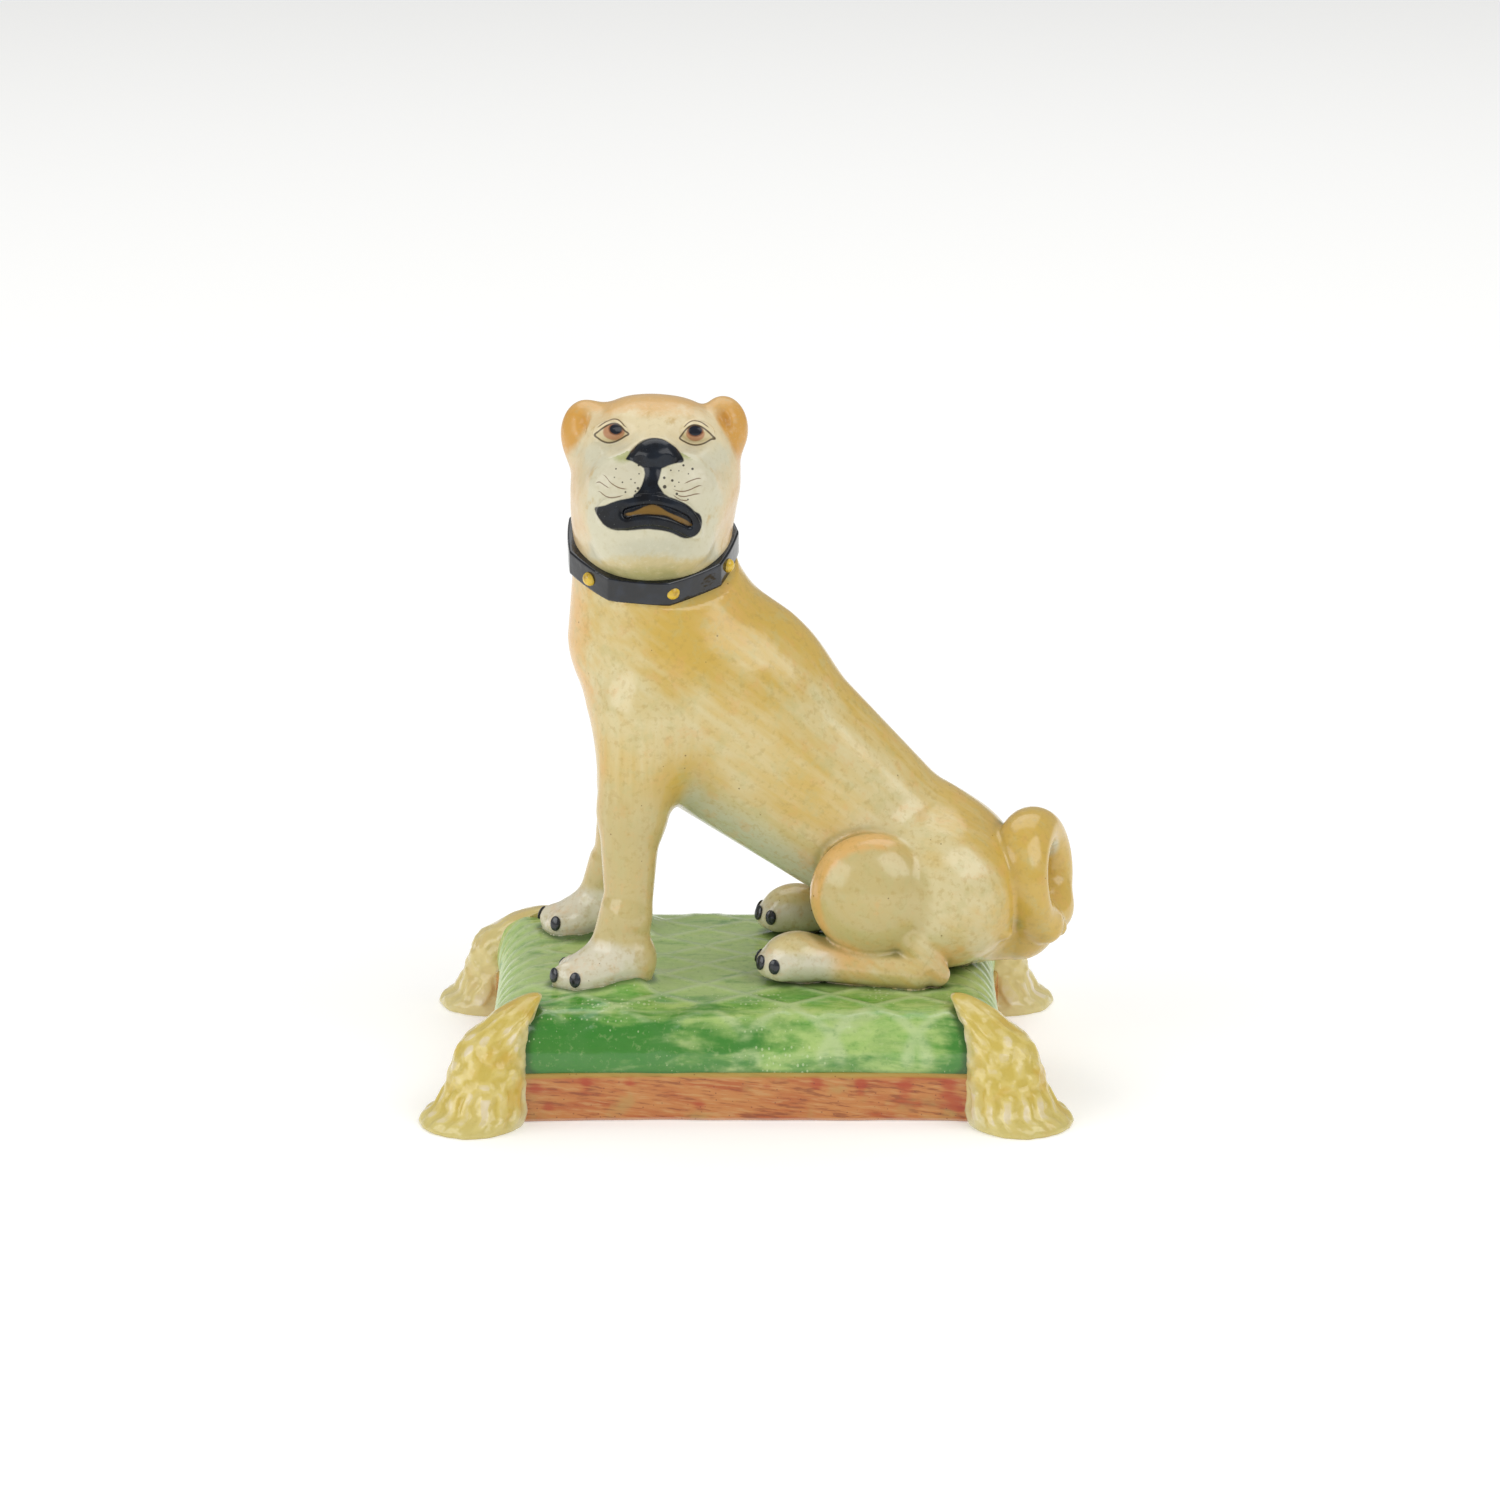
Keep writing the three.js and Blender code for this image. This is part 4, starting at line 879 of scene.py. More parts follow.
def startMesh(name, points=(), outward=()):
    mesh = bpy.data.meshes.new(name)
    mesh.from_pydata([tuple(mm * c for c in point) for point in points], [], [])
    if len(points):
        layer = mesh.attributes.new("outward", "FLOAT_VECTOR", "POINT")
        layer.data.foreach_set("vector", np.array(outward, np.float32).ravel())
    start = bpy.data.objects.new(name, mesh)
    bpy.context.scene.collection.objects.link(start)
    return start


# Glazes. All of the figure has one clear lead glaze, so every finish ends in a bright coat, a
# little wavy where it ran; what differs is the colour brushed under it.

def newMaterial(name):
    material = bpy.data.materials.new(name)
    material.use_nodes = True
    tree = material.node_tree
    tree.nodes.clear()
    return material, tree, addNode(tree, "ShaderNodeTexCoord").outputs["Object"]


def paintOver(tree, under, colour, amount, low=0.0, high=1.0, most=1.0):
    # one colour brushed over another where the amount passes from low to high
    share = addNode(tree, "ShaderNodeMapRange",
                    {"Value": amount, "From Min": low, "From Max": high, "To Max": most},
                    interpolation_type="SMOOTHSTEP")
    layers = {"Factor": share, "A": under, "B": linear(colour)}
    return addNode(tree, "ShaderNodeMix", layers, data_type="RGBA")


def finishGlaze(material, where, colour, roughness=0.18, waves=0.5, index=1.6):
    tree = material.node_tree
    swell = addNode(tree, "ShaderNodeTexNoise", {"Vector": where, "Scale": perMetre(5.0), "Detail": 3.0})
    bump = addNode(tree, "ShaderNodeBump", {"Strength": waves, "Distance": 0.0003, "Height": swell})
    shader = addNode(tree, "ShaderNodeBsdfPrincipled", {
        "Base Color": colour, "Roughness": roughness, "IOR": index, "Normal": bump})
    addNode(tree, "ShaderNodeOutputMaterial", {"Surface": shader})
    return material


def reading(tree, name):  # a painted mark carried by the mesh
    return addNode(tree, "ShaderNodeAttribute", attribute_name=name).outputs["Fac"]


# Ochre dog: thin ochre slip brushed over cream clay, so the cream shows through it in streaks that
# follow the brush, with mottles where the slip lay thick and brown specks from the clay

coatTints = [  # colour, mark, how far the brush's streaks break it, where it starts and is full, its most
    # painted shade: darker on the legs and on the haunch's side
    ("#C2AF72", "lower", 0.8, 0.0, 1.0, 0.75),
    ("#E0B068", "tan", 0.9, 0.15, 1.0, 0.8),
    ("#DCD5BE", "pale", 0.5, 0.1, 0.9, 0.95),
    ("#C6CAB2", "belly", 0.0, 0.1, 0.9, 0.8),
    # painted shade in the hollows low on the body
    ("#8F8A52", "groove", 0.0, 0.25, 1.0, 0.7),
    # green glaze where the body sits on the cushion, with painted contact shade
    ("#7F8A58", "pool", 0.0, 0.6, 0.1, 0.8),
]


def makeDogGlaze():
    material, tree, where = newMaterial("ochreBrushedUnderGlaze")
    blotch = addNode(tree, "ShaderNodeTexNoise", {"Vector": where, "Scale": perMetre(14), "Detail": 3.0})
    alongBack = addNode(tree, "ShaderNodeMapping", {"Vector": where, "Rotation": (0, radians(38), 0),
                                                    "Scale": (6, 1, 1)}, vector_type="TEXTURE")
    upright = addNode(tree, "ShaderNodeMapping", {"Vector": where, "Scale": (1, 1, 0.1)})
    backStreak, legStreak = (
        addNode(tree, "ShaderNodeTexNoise", {"Vector": way, "Scale": perMetre(1.6), "Detail": 4.0})
        for way in (alongBack, upright))
    streak = addNode(tree, "ShaderNodeMix", {"Factor": reading(tree, "brushedDown"), "A": backStreak,
                                             "B": legStreak}, data_type="FLOAT")
    brush = addNode(tree, "ShaderNodeMath", {0: streak, 1: 0.5}, operation="SUBTRACT")
    patch = addNode(tree, "ShaderNodeMath", {0: blotch, 1: 0.5}, operation="SUBTRACT")
    ochre = addNode(tree, "ShaderNodeMath", {0: brush, 1: reading(tree, "ochre")}, operation="ADD")
    ochre = addNode(tree, "ShaderNodeMath", {0: patch, 1: 1.4, 2: ochre}, operation="MULTIPLY_ADD")
    colour = paintOver(tree, linear("#D9CB9A"), "#CFAD52", ochre, -0.05, 1.05)
    for tint, mark, streaked, low, high, most in coatTints:
        amount = addNode(tree, "ShaderNodeMath", {0: brush, 1: streaked, 2: reading(tree, mark)},
                         operation="MULTIPLY_ADD")
        colour = paintOver(tree, colour, tint, amount, low, high, most)
    # mottles a few millimetres wide, greenish and orange, and finer ones of the ochre itself
    mottle = addNode(tree, "ShaderNodeTexNoise", {"Vector": where, "Scale": perMetre(3.2), "Detail": 4.0,
                                                  "Roughness": 0.62})
    colour = paintOver(tree, colour, "#BDB67C", mottle, 0.52, 0.68, 0.35)
    colour = paintOver(tree, colour, "#DCA862", mottle, 0.46, 0.32, 0.28)
    grain = addNode(tree, "ShaderNodeTexNoise", {"Vector": where, "Scale": perMetre(1.1), "Detail": 3.0,
                                                 "Roughness": 0.65})
    colour = paintOver(tree, colour, "#B2954C", grain, 0.5, 0.7, 0.35)
    # brown specks, one in a few cells of the pattern, some larger than others
    speck = addNode(tree, "ShaderNodeTexVoronoi", {"Vector": where, "Scale": perMetre(1.7)}).outputs
    chance = addNode(tree, "ShaderNodeSeparateXYZ", {0: speck["Color"]}).outputs[0]
    radius = addNode(tree, "ShaderNodeMapRange", {"Value": chance, "From Min": 0.6, "From Max": 1.0,
                                                  "To Min": -0.02, "To Max": 0.1})
    freckle = addNode(tree, "ShaderNodeMath", {0: radius, 1: speck["Distance"]}, operation="SUBTRACT")
    colour = paintOver(tree, colour, "#6E5224", freckle, -0.015, 0.02, 0.7)
    return finishGlaze(material, where, colour)


# Cream face: a thin cream slip that is greenish white in the middle, cream above and yellower where
# the head turns away, with the eyes, whiskers, spots and black lips painted on it by hand

faceTints = [  # colour, mark, how far the mottling breaks it, where it starts and is full, its most
    ("#E4D4AC", "faceUp", 6.0, 5.5, 9.5, 0.95),
    ("#DAC69C", "turned", 1.2, 0.1, 0.6, 0.9),
    ("#D6AC70", "turned", 1.2, 0.55, 1.1, 0.7),
    ("#DAAE6C", "faceUp", 6.0, 11.6, 14.6, 0.92),
    ("#D29A42", "ear", 1.8, 0.5, -0.7, 0.92),
    # painted shade, greenish, beside the nose and under the eyes
    ("#A6AA6C", "tint", 1.6, 0.15, 0.8, 0.9),
    # painted shade under the lips
    ("#C2BFA6", "under", 0.5, 0.15, 0.9, 0.8),
    # yellowish green at the throat, and lower down a darker painted shade where the jaw meets the collar
    ("#C9B478", "throat", 1.6, 0.1, 0.6, 0.7),
    ("#9C9A64", "throat", 1.2, 0.5, 1.1, 0.8),
    # painted shade in the hollows of the lower face
    ("#A9A267", "groove", 0.0, 0.2, 1.0, 0.6),
    ("#D3CCB3", "pad", 0.9, 1.25, 0.6, 0.6),
]
strokes = {
    # a whisker's curve starts at the lowest height and spans the next; half its width at its ends and
    # in its middle, and how far from its middle, as a share of its length, each of them holds
    "lowest": -5.0, "span": 10.0, "halfWidth": (-0.02, 0.13), "ends": (0.52, 0.3),
    # where whiskers and spots stop, and the crease's half width and the height that it starts at
    "padEdge": (2.4, 2.3), "creaseHalf": 0.13, "creaseFrom": (10.3, 10.9),
}


def drawWhisker(tree, line, up, out, front):  # above zero along the stroke
    (first, _), (last, _) = line[0], line[-1]
    share = addNode(tree, "ShaderNodeMapRange", {"Value": out, "From Min": first, "From Max": last},
                    clamp=False)
    path = addNode(tree, "ShaderNodeFloatCurve", {"Value": share})
    lowest, span = strokes["lowest"], strokes["span"]
    places = [((along - first) / (last - first), (height - lowest) / span) for along, height in line]
    shapeCurve(path.mapping, places, "AUTO")
    height = addNode(tree, "ShaderNodeMath", {0: path, 1: span, 2: lowest}, operation="MULTIPLY_ADD")
    away = addNode(tree, "ShaderNodeMath", {0: up, 1: height}, operation="SUBTRACT")
    away = addNode(tree, "ShaderNodeMath", {0: away}, operation="ABSOLUTE")
    # the stroke thins out at both ends
    middle = addNode(tree, "ShaderNodeMath", {0: share, 1: 0.5}, operation="SUBTRACT")
    middle = addNode(tree, "ShaderNodeMath", {0: middle}, operation="ABSOLUTE")
    (ending, full), (least, most) = strokes["ends"], strokes["halfWidth"]
    halfWidth = addNode(tree, "ShaderNodeMapRange", {"Value": middle, "From Min": ending, "From Max": full,
                                                     "To Min": least, "To Max": most})
    within = addNode(tree, "ShaderNodeMath", {0: halfWidth, 1: away}, operation="SUBTRACT")
    return addNode(tree, "ShaderNodeMath", {0: within, 1: front}, operation="MULTIPLY")


def makeHeadGlaze():
    material, tree, where = newMaterial("creamFaceUnderGlaze")
    blotch = addNode(tree, "ShaderNodeTexNoise", {"Vector": where, "Scale": perMetre(5), "Detail": 5.0,
                                                  "Roughness": 0.65})
    patch = addNode(tree, "ShaderNodeMath", {0: blotch, 1: 0.5}, operation="SUBTRACT")
    up, out = reading(tree, "faceUp"), reading(tree, "faceOut")

    def mottled(mark, much):
        return addNode(tree, "ShaderNodeMath", {0: patch, 1: much, 2: reading(tree, mark)},
                       operation="MULTIPLY_ADD")

    colour = linear("#D3CEB3")
    for tint, mark, much, low, high, most in faceTints:
        colour = paintOver(tree, colour, tint, mottled(mark, much), low, high, most)
    colour = paintOver(tree, colour, "#C4904A", blotch, 0.6, 0.76, 0.4)
    grain = addNode(tree, "ShaderNodeTexNoise", {"Vector": where, "Scale": perMetre(1.0), "Detail": 3.0,
                                                 "Roughness": 0.65})
    colour = paintOver(tree, colour, "#B9AC7E", grain, 0.52, 0.74, 0.28)
    colour = paintOver(tree, colour, "#EDE6CF", grain, 0.46, 0.28, 0.15)
    # eyes, each under the crease of its lid
    crease = addNode(tree, "ShaderNodeMath", {0: reading(tree, "crease")}, operation="ABSOLUTE")
    low, high = strokes["creaseFrom"]
    upper = addNode(tree, "ShaderNodeMapRange", {"Value": up, "From Min": low, "From Max": high})
    crease = addNode(tree, "ShaderNodeMath", {0: strokes["creaseHalf"], 1: crease}, operation="SUBTRACT")
    crease = addNode(tree, "ShaderNodeMath", {0: crease, 1: upper}, operation="MULTIPLY")
    colour = paintOver(tree, colour, "#5A4228", crease, 0.0, 0.06, 0.85)
    white = paintOver(tree, linear("#D5C69C"), "#B98A68", mottled("iris", 0.3), 0.08, -0.12)
    white = paintOver(tree, white, "#7A4A2E", reading(tree, "pupil"), 0.35, 0.12, 0.8)
    white = paintOver(tree, white, "#1B1E28", reading(tree, "pupil"), 0.15, -0.1)
    inside = addNode(tree, "ShaderNodeMapRange",
                     {"Value": reading(tree, "eye"), "From Min": 0.05, "From Max": -0.05})
    colour = addNode(tree, "ShaderNodeMix", {"Factor": inside, "A": colour, "B": white}, data_type="RGBA")
    lid = addNode(tree, "ShaderNodeMath", {0: reading(tree, "eye")}, operation="ABSOLUTE")
    colour = paintOver(tree, colour, "#463522", lid, 0.2, 0.07, 0.9)
    # whiskers, each a curve that gives its height on the pad, and the spots that they grow from
    low, high = strokes["padEdge"]
    front = addNode(tree, "ShaderNodeMapRange",
                    {"Value": reading(tree, "pad"), "From Min": low, "From Max": high})
    for line in whiskers:
        colour = paintOver(tree, colour, "#6B4C30", drawWhisker(tree, line, up, out, front), 0.0, 0.08, 0.85)
    flat = addNode(tree, "ShaderNodeCombineXYZ", {"X": out, "Y": up})
    spot = None
    for x, y, radius in padSpots:
        away = addNode(tree, "ShaderNodeVectorMath", {0: flat, 1: (x, y, 0)}, operation="DISTANCE")
        away = addNode(tree, "ShaderNodeMath", {0: away.outputs["Value"], 1: radius}, operation="SUBTRACT")
        if spot is not None:
            away = addNode(tree, "ShaderNodeMath", {0: spot, 1: away}, operation="MINIMUM")
        spot = away
    spot = addNode(tree, "ShaderNodeMath", {0: 0.02, 1: spot}, operation="SUBTRACT")
    spot = addNode(tree, "ShaderNodeMath", {0: spot, 1: front}, operation="MULTIPLY")
    colour = paintOver(tree, colour, "#2E2823", spot, 0.0, 0.08, 0.9)
    # nose, lips and the line between them, with pinholes where the black ran thin
    ink = mottled("ink", 0.5)
    black = paintOver(tree, linear("#0A0C11"), "#1C242F", blotch, 0.4, 0.75)
    pin = addNode(tree, "ShaderNodeTexVoronoi", {"Vector": where, "Scale": perMetre(0.55)}).outputs
    pin = addNode(tree, "ShaderNodeMath", {0: patch, 1: 0.35, 2: pin["Distance"]}, operation="MULTIPLY_ADD")
    black = paintOver(tree, black, "#8F9492", pin, 0.1, 0.03, 0.7)
    black = paintOver(tree, black, "#846530", mottled("opening", 0.5), 0.0, -0.25)
    inked = addNode(tree, "ShaderNodeMapRange", {"Value": ink, "From Min": 0.1, "From Max": -0.1})
    colour = addNode(tree, "ShaderNodeMix", {"Factor": inked, "A": colour, "B": black}, data_type="RGBA")
    return finishGlaze(material, where, colour, 0.2, 0.5, 1.4)


def makeCollarGlaze():  # cobalt and manganese black: nearly black, bluish where it is thin, and very glossy
    material, tree, where = newMaterial("blueBlackUnderGlaze")
    blotch = addNode(tree, "ShaderNodeTexNoise", {"Vector": where, "Scale": perMetre(2.5), "Detail": 4.0})
    colour = paintOver(tree, linear("#070B13"), "#1B2331", blotch, 0.45, 0.8)
    return finishGlaze(material, where, colour, 0.12, 0.9)


def makeStudGlaze():  # antimony yellow in small dabs, browner where a dab is thin
    material, tree, where = newMaterial("yellowStudUnderGlaze")
    blotch = addNode(tree, "ShaderNodeTexNoise", {"Vector": where, "Scale": perMetre(1.2), "Detail": 3.0})
    colour = paintOver(tree, linear("#E0BC3A"), "#B08A2A", blotch, 0.45, 0.75)
    return finishGlaze(material, where, colour)


def makeClawGlaze():  # black touched on with a brush's tip, greyer where it is thin
    material, tree, where = newMaterial("blackClawUnderGlaze")
    blotch = addNode(tree, "ShaderNodeTexNoise", {"Vector": where, "Scale": perMetre(1.0), "Detail": 3.0})
    colour = paintOver(tree, linear("#1D2027"), "#39414B", blotch, 0.45, 0.8)
    return finishGlaze(material, where, colour)


# Green cushion: copper green that ran off the raised cords, so the cords are pale, and it is streaked along
# the brush's way;
# round the feet and the tassels it is dark, from glaze that pooled there and from painted shade

def makePillowGlaze():
    material, tree, where = newMaterial("copperGreenUnderGlaze")
    stretched = addNode(tree, "ShaderNodeMapping", {"Vector": where, "Scale": (0.35, 1, 1)})
    wash = addNode(tree, "ShaderNodeTexNoise", {"Vector": stretched, "Scale": perMetre(6), "Detail": 4.0})
    fine = addNode(tree, "ShaderNodeTexNoise", {"Vector": stretched, "Scale": perMetre(1.8), "Detail": 4.0,
                                                "Roughness": 0.6})
    brush = addNode(tree, "ShaderNodeMath", {0: fine, 1: 0.7, 2: wash}, operation="MULTIPLY_ADD")
    # lighter where the cushion faces the front, its ends and up
    brush = addNode(tree, "ShaderNodeMath", {0: brush, 1: reading(tree, "paleByFacing")}, operation="SUBTRACT")
    colour = paintOver(tree, linear("#ADC876"), "#579F34", brush, 0.62, 1.1)
    cloud = addNode(tree, "ShaderNodeTexNoise", {"Vector": stretched, "Scale": perMetre(5), "Detail": 5.0,
                                                 "Roughness": 0.6, "Distortion": 0.5})
    colour = paintOver(tree, colour, "#528A3C", cloud, 0.52, 0.72, 0.5)
    colour = paintOver(tree, colour, "#B6C48E", cloud, 0.48, 0.34, 0.5)
    colour = paintOver(tree, colour, "#C3D3A0", reading(tree, "relief"), 0.03, 0.18, 0.5)
    swirl = addNode(tree, "ShaderNodeTexNoise", {"Vector": stretched, "Scale": perMetre(4), "Detail": 4.0,
                                                 "Distortion": 0.7})
    strong = addNode(tree, "ShaderNodeMath", {0: swirl, 1: 2.8, 2: reading(tree, "frontGreen")},
                     operation="MULTIPLY_ADD")
    strong = addNode(tree, "ShaderNodeMath", {0: fine, 1: 0.9, 2: strong}, operation="MULTIPLY_ADD")
    colour = paintOver(tree, colour, "#357F28", strong, 2.0, 2.9, 0.94)
    # a painted highlight along the top of the roll, where it catches the light
    line = addNode(tree, "ShaderNodeMath", {0: reading(tree, "paintedEdgeHighlight"), 1: fine}, operation="MULTIPLY")
    colour = paintOver(tree, colour, "#BFD09A", line, 0.2, 0.7, 0.4)
    grain = addNode(tree, "ShaderNodeTexNoise", {"Vector": where, "Scale": perMetre(1.0), "Detail": 3.0,
                                                 "Roughness": 0.65})
    colour = paintOver(tree, colour, "#3F7F2E", grain, 0.52, 0.74, 0.3)
    colour = paintOver(tree, colour, "#C9D69A", grain, 0.46, 0.28, 0.2)
    # dark green of pooled glaze and painted shade
    colour = paintOver(tree, colour, "#2B5218", reading(tree, "pool"), 0.2, 1.0, 0.85)
    # pinholes about a millimetre apart, in rows, in some parts of the cushion only
    rows = addNode(tree, "ShaderNodeMapping",
                   {"Vector": where, "Scale": (perMetre(0.9), perMetre(1.3), perMetre(1.3))})
    pin = addNode(tree, "ShaderNodeTexVoronoi", {"Vector": rows, "Scale": 1.0, "Randomness": 0.45})
    many = addNode(tree, "ShaderNodeTexNoise", {"Vector": where, "Scale": perMetre(12), "Detail": 2.0})
    some = addNode(tree, "ShaderNodeMath", {0: many, 1: 0.43}, operation="SUBTRACT")
    hole = addNode(tree, "ShaderNodeMath", {0: some, 1: pin.outputs["Distance"]}, operation="SUBTRACT")
    colour = paintOver(tree, colour, "#CBDCAA", hole, -0.02, 0.05, 0.5)
    return finishGlaze(material, where, colour, 0.16)


# Red band: iron red brushed along it, so it is streaked lengthwise, rusty in blots and worn at its edges

def makeBandGlaze():
    material, tree, where = newMaterial("ironRedUnderGlaze")
    stretched = addNode(tree, "ShaderNodeMapping", {"Vector": where, "Rotation": (0, radians(6), 0),
                                                    "Scale": (8, 8, 1)}, vector_type="TEXTURE")
    streak = addNode(tree, "ShaderNodeTexNoise", {"Vector": stretched, "Scale": perMetre(1.3), "Detail": 5.0})
    blotch = addNode(tree, "ShaderNodeTexNoise", {"Vector": where, "Scale": perMetre(7), "Detail": 3.0})
    fine = addNode(tree, "ShaderNodeTexNoise", {"Vector": stretched, "Scale": perMetre(0.45), "Detail": 3.0})
    colour = paintOver(tree, linear("#BF7B3D"), "#AA4C16", streak, 0.42, 0.7, 0.85)
    colour = paintOver(tree, colour, "#C79B60", fine, 0.52, 0.72, 0.6)
    colour = paintOver(tree, colour, "#813A14", fine, 0.47, 0.33, 0.7)
    colour = paintOver(tree, colour, "#AF9250", blotch, 0.44, 0.3, 0.6)
    run = addNode(tree, "ShaderNodeMath", {0: streak, 1: 2.5, 2: reading(tree, "rust")},
                  operation="MULTIPLY_ADD")
    colour = paintOver(tree, colour, "#A93308", run, 1.65, 2.5, 0.75)
    colour = paintOver(tree, colour, "#B5A356", reading(tree, "topLine"), 0.3, 1.0, 0.7)
    colour = paintOver(tree, colour, "#D5AE92", reading(tree, "footLine"), 0.3, 1.0, 0.6)
    speck = addNode(tree, "ShaderNodeTexVoronoi", {"Vector": where, "Scale": perMetre(1.1)})
    colour = paintOver(tree, colour, "#6A2E1C", speck.outputs["Distance"], 0.14, 0.08, 0.6)
    return finishGlaze(material, where, colour)


# Yellow tassels: antimony yellow that ran off the knots and lies thicker between them, paler towards
# the foot and on the sides turned to the cushion

def makeTasselGlaze():
    material, tree, where = newMaterial("yellowTasselUnderGlaze")
    blotch = addNode(tree, "ShaderNodeTexNoise", {"Vector": where, "Scale": perMetre(5), "Detail": 4.0})
    colour = paintOver(tree, linear("#CDB658"), "#D9C46F", reading(tree, "relief"), 0.1, 0.9)
    colour = paintOver(tree, colour, "#E4D493", blotch, 0.5, 0.75, 0.7)
    colour = paintOver(tree, colour, "#CDA63C", blotch, 0.47, 0.3, 0.6)
    colour = paintOver(tree, colour, "#CFC68A", reading(tree, "rise"), 4.0, 0.5, 0.5)
    grain = addNode(tree, "ShaderNodeTexNoise", {"Vector": where, "Scale": perMetre(0.9), "Detail": 3.0,
                                                 "Roughness": 0.65})
    colour = paintOver(tree, colour, "#B9A548", grain, 0.52, 0.74, 0.35)
    inner = addNode(tree, "ShaderNodeMath", {0: blotch, 1: 0.8, 2: reading(tree, "inward")},
                    operation="MULTIPLY_ADD")
    colour = paintOver(tree, colour, "#CFCBA8", inner, 1.0, 1.5, 0.75)
    back = addNode(tree, "ShaderNodeSeparateXYZ", {0: where}).outputs["Y"]
    colour = paintOver(tree, colour, "#D9CC9A", back, 0.0, 0.01, 0.5)
    worn = addNode(tree, "ShaderNodeMath", {0: blotch, 1: 1.2, 2: reading(tree, "relief")},
                   operation="MULTIPLY_ADD")
    colour = paintOver(tree, colour, "#E8DCD0", worn, 1.48, 1.8, 0.55)
    return finishGlaze(material, where, colour)


# Where the brush went on the body and on the head, and where shade is painted on them, as marks for the
# glazes

spots = {  # x, distance from the middle, z, reach and strength of each brushed patch
    "ochre": [(-9.5, 10, 74, 9, 0.9), (-24, 4, 60, 5, 0.9), (2.4, 16, 64, 8, 0.35), (-11, 13, 50, 5, 1.2),
              (40, 6, 30, 9, 0.5), (10, 14, 50, 9, 0.35)],
    "tan": [(-26, 3, 66, 5, 0.6), (-5, 8, 78, 8, 0.5), (14, 16, 22, 6, 0.9), (-29, 2, 76, 6, 0.9),
            (31, 15, 21, 5, 0.8)],
}


def patches(points, kind):
    x, y, z = points[0], np.abs(points[1] - dog["middle"]), points[2]
    total = np.zeros(x.shape)
    for sx, sy, sz, reach, strength in spots[kind]:
        total += strength * np.exp(-((x - sx) ** 2 + (y - sy) ** 2 + (z - sz) ** 2) / reach ** 2)
    return total


def bodyPaints(points, normals):
    x, y, z = points
    # darker ochre along the back's ridge, chosen by the way the surface faces: brushed slip, and in part
    # painted shade where the glaze mirrors the dark room
    back = fade(0.62 * normals[0] + 0.78 * normals[2], 0.62, 0.98) * fade(z, 26, 34)
    back = back * (1 - 0.45 * fade(x, 8, 26))
    side = np.abs(y - dog["hindMiddle"])
    ahead, up = dog["haunchAt"][0] - x, z - dog["haunchAt"][1]
    haunch = np.hypot(ahead / dog["haunchSize"][0], up / dog["haunchSize"][1])
    turn = np.arctan2(up, ahead)
    rim = np.exp(-((haunch - 0.95) / 0.11) ** 2) * fade(side, 9, 13)
    rim = rim * fade(turn, -0.9, -0.2) * fade(-turn, -2.3, -1.4)
    chest = fade(-normals[0], 0.6, 0.95) * fade(z, 22, 30)
    forePaws = fade(-z, -27, -23) * fade(-x, 14, 22)
    hindPaws = fade(-z, -25, -22) * fade(x, -2, 2) * fade(-x, -17, -10)
    legs = fade(-z, -58, -42) * fade(-x, 6, 14)
    return {
        "ochre": 0.28 + 0.85 * back + patches(points, "ochre") + 0.6 * fade(x, 37, 43),
        # painted shade on the legs and on the haunch's side
        "lower": np.maximum(legs, fade(-haunch, -1.1, -0.75) * fade(side, 8, 12)),
        "tan": 1.5 * rim + patches(points, "tan") + 0.45 * chest,
        "pale": forePaws + hindPaws,
        "belly": fade(-normals[2], 0.15, 0.75) * fade(z, 27, 33) * fade(x, -14, -8),
        # painted shade in the hollows low on the body
        "groove": hollowness(seatedBody, points, normals, 2.0) * fade(z, 19, 22),
        # green glaze where the body sits, with painted contact shade
        "pool": cushionDistance(points) + 2.0 * fade(np.abs(normals[2]), 0.6, 1),
        "brushedDown": fade(-x, 2, 12) * fade(-z, -66, -56),
    }


def headPaints(points, normals):
    paints = facePaints(points, normals)
    u, v = paints["faceOut"], paints["faceUp"]
    depth = tipped(points, head["at"], head["pitch"])[2]
    ears = []
    for side, out, up, tall in ((-1, 12.6, 10.4, 4.0), (1, 12.0, 9.8, 5.2)):
        beyond = np.maximum(out - side * u, 0) / 3.0
        ears.append(np.sqrt(beyond ** 2 + ((v - up) / tall) ** 2 + ((depth + 0.5) / 5.3) ** 4))
    inFront = np.where(paints["opening"] > face["behind"], 0, 1)
    turned = fade(0.8 - paints.pop("facing"), 0, 0.7) * fade(np.abs(u), 8.5, 11.5)
    brow = 0.75 * fade(v, 9, 12.5) * fade(-u, 2, 7)
    return {
        **paints,
        "turned": np.maximum.reduce([turned, fade(-depth, -2, 5), brow]),
        "ear": np.minimum(*ears) * 2 - 2,
        # painted shade, greenish, beside the nose and under the eyes
        "tint": np.exp(-((np.abs(u) - 5.0) / 2.1) ** 2 - ((v - 6.9) / 2.1) ** 2) * inFront,
        # painted shade under the lips
        "under": np.exp(-((u - 0.3) / 7.5) ** 2 - ((v + 8.8) / 2.2) ** 2) * inFront,
        # painted shade in the hollows of the lower face
        "groove": hollowness(upperHead, points, normals, 1.5) * fade(-v, -9, -6),
        # yellowish at the throat, with painted shade lowest down by the collar
        "throat": fade(-v, 8, 13.5),
    }


# Body, head and collar, each found from its own distances

def makeSculpted(name, distance, sizes, finish, paintsOf=None):
    points, normals, faces = findSurface(distance, sizes["low"], sizes["high"], sizes["cell"])
    paints = paintsOf(points, normals) if paintsOf else None
    return makeMesh(name, points, faces, finish, normals, paints)


body = makeSculpted("pugBody", seatedBody, dog, makeDogGlaze(), bodyPaints)
headPiece = makeSculpted("pugHead", upperHead, head, makeHeadGlaze(), headPaints)
collarPiece = makeSculpted("pugCollar", collarDistance, collar, makeCollarGlaze())

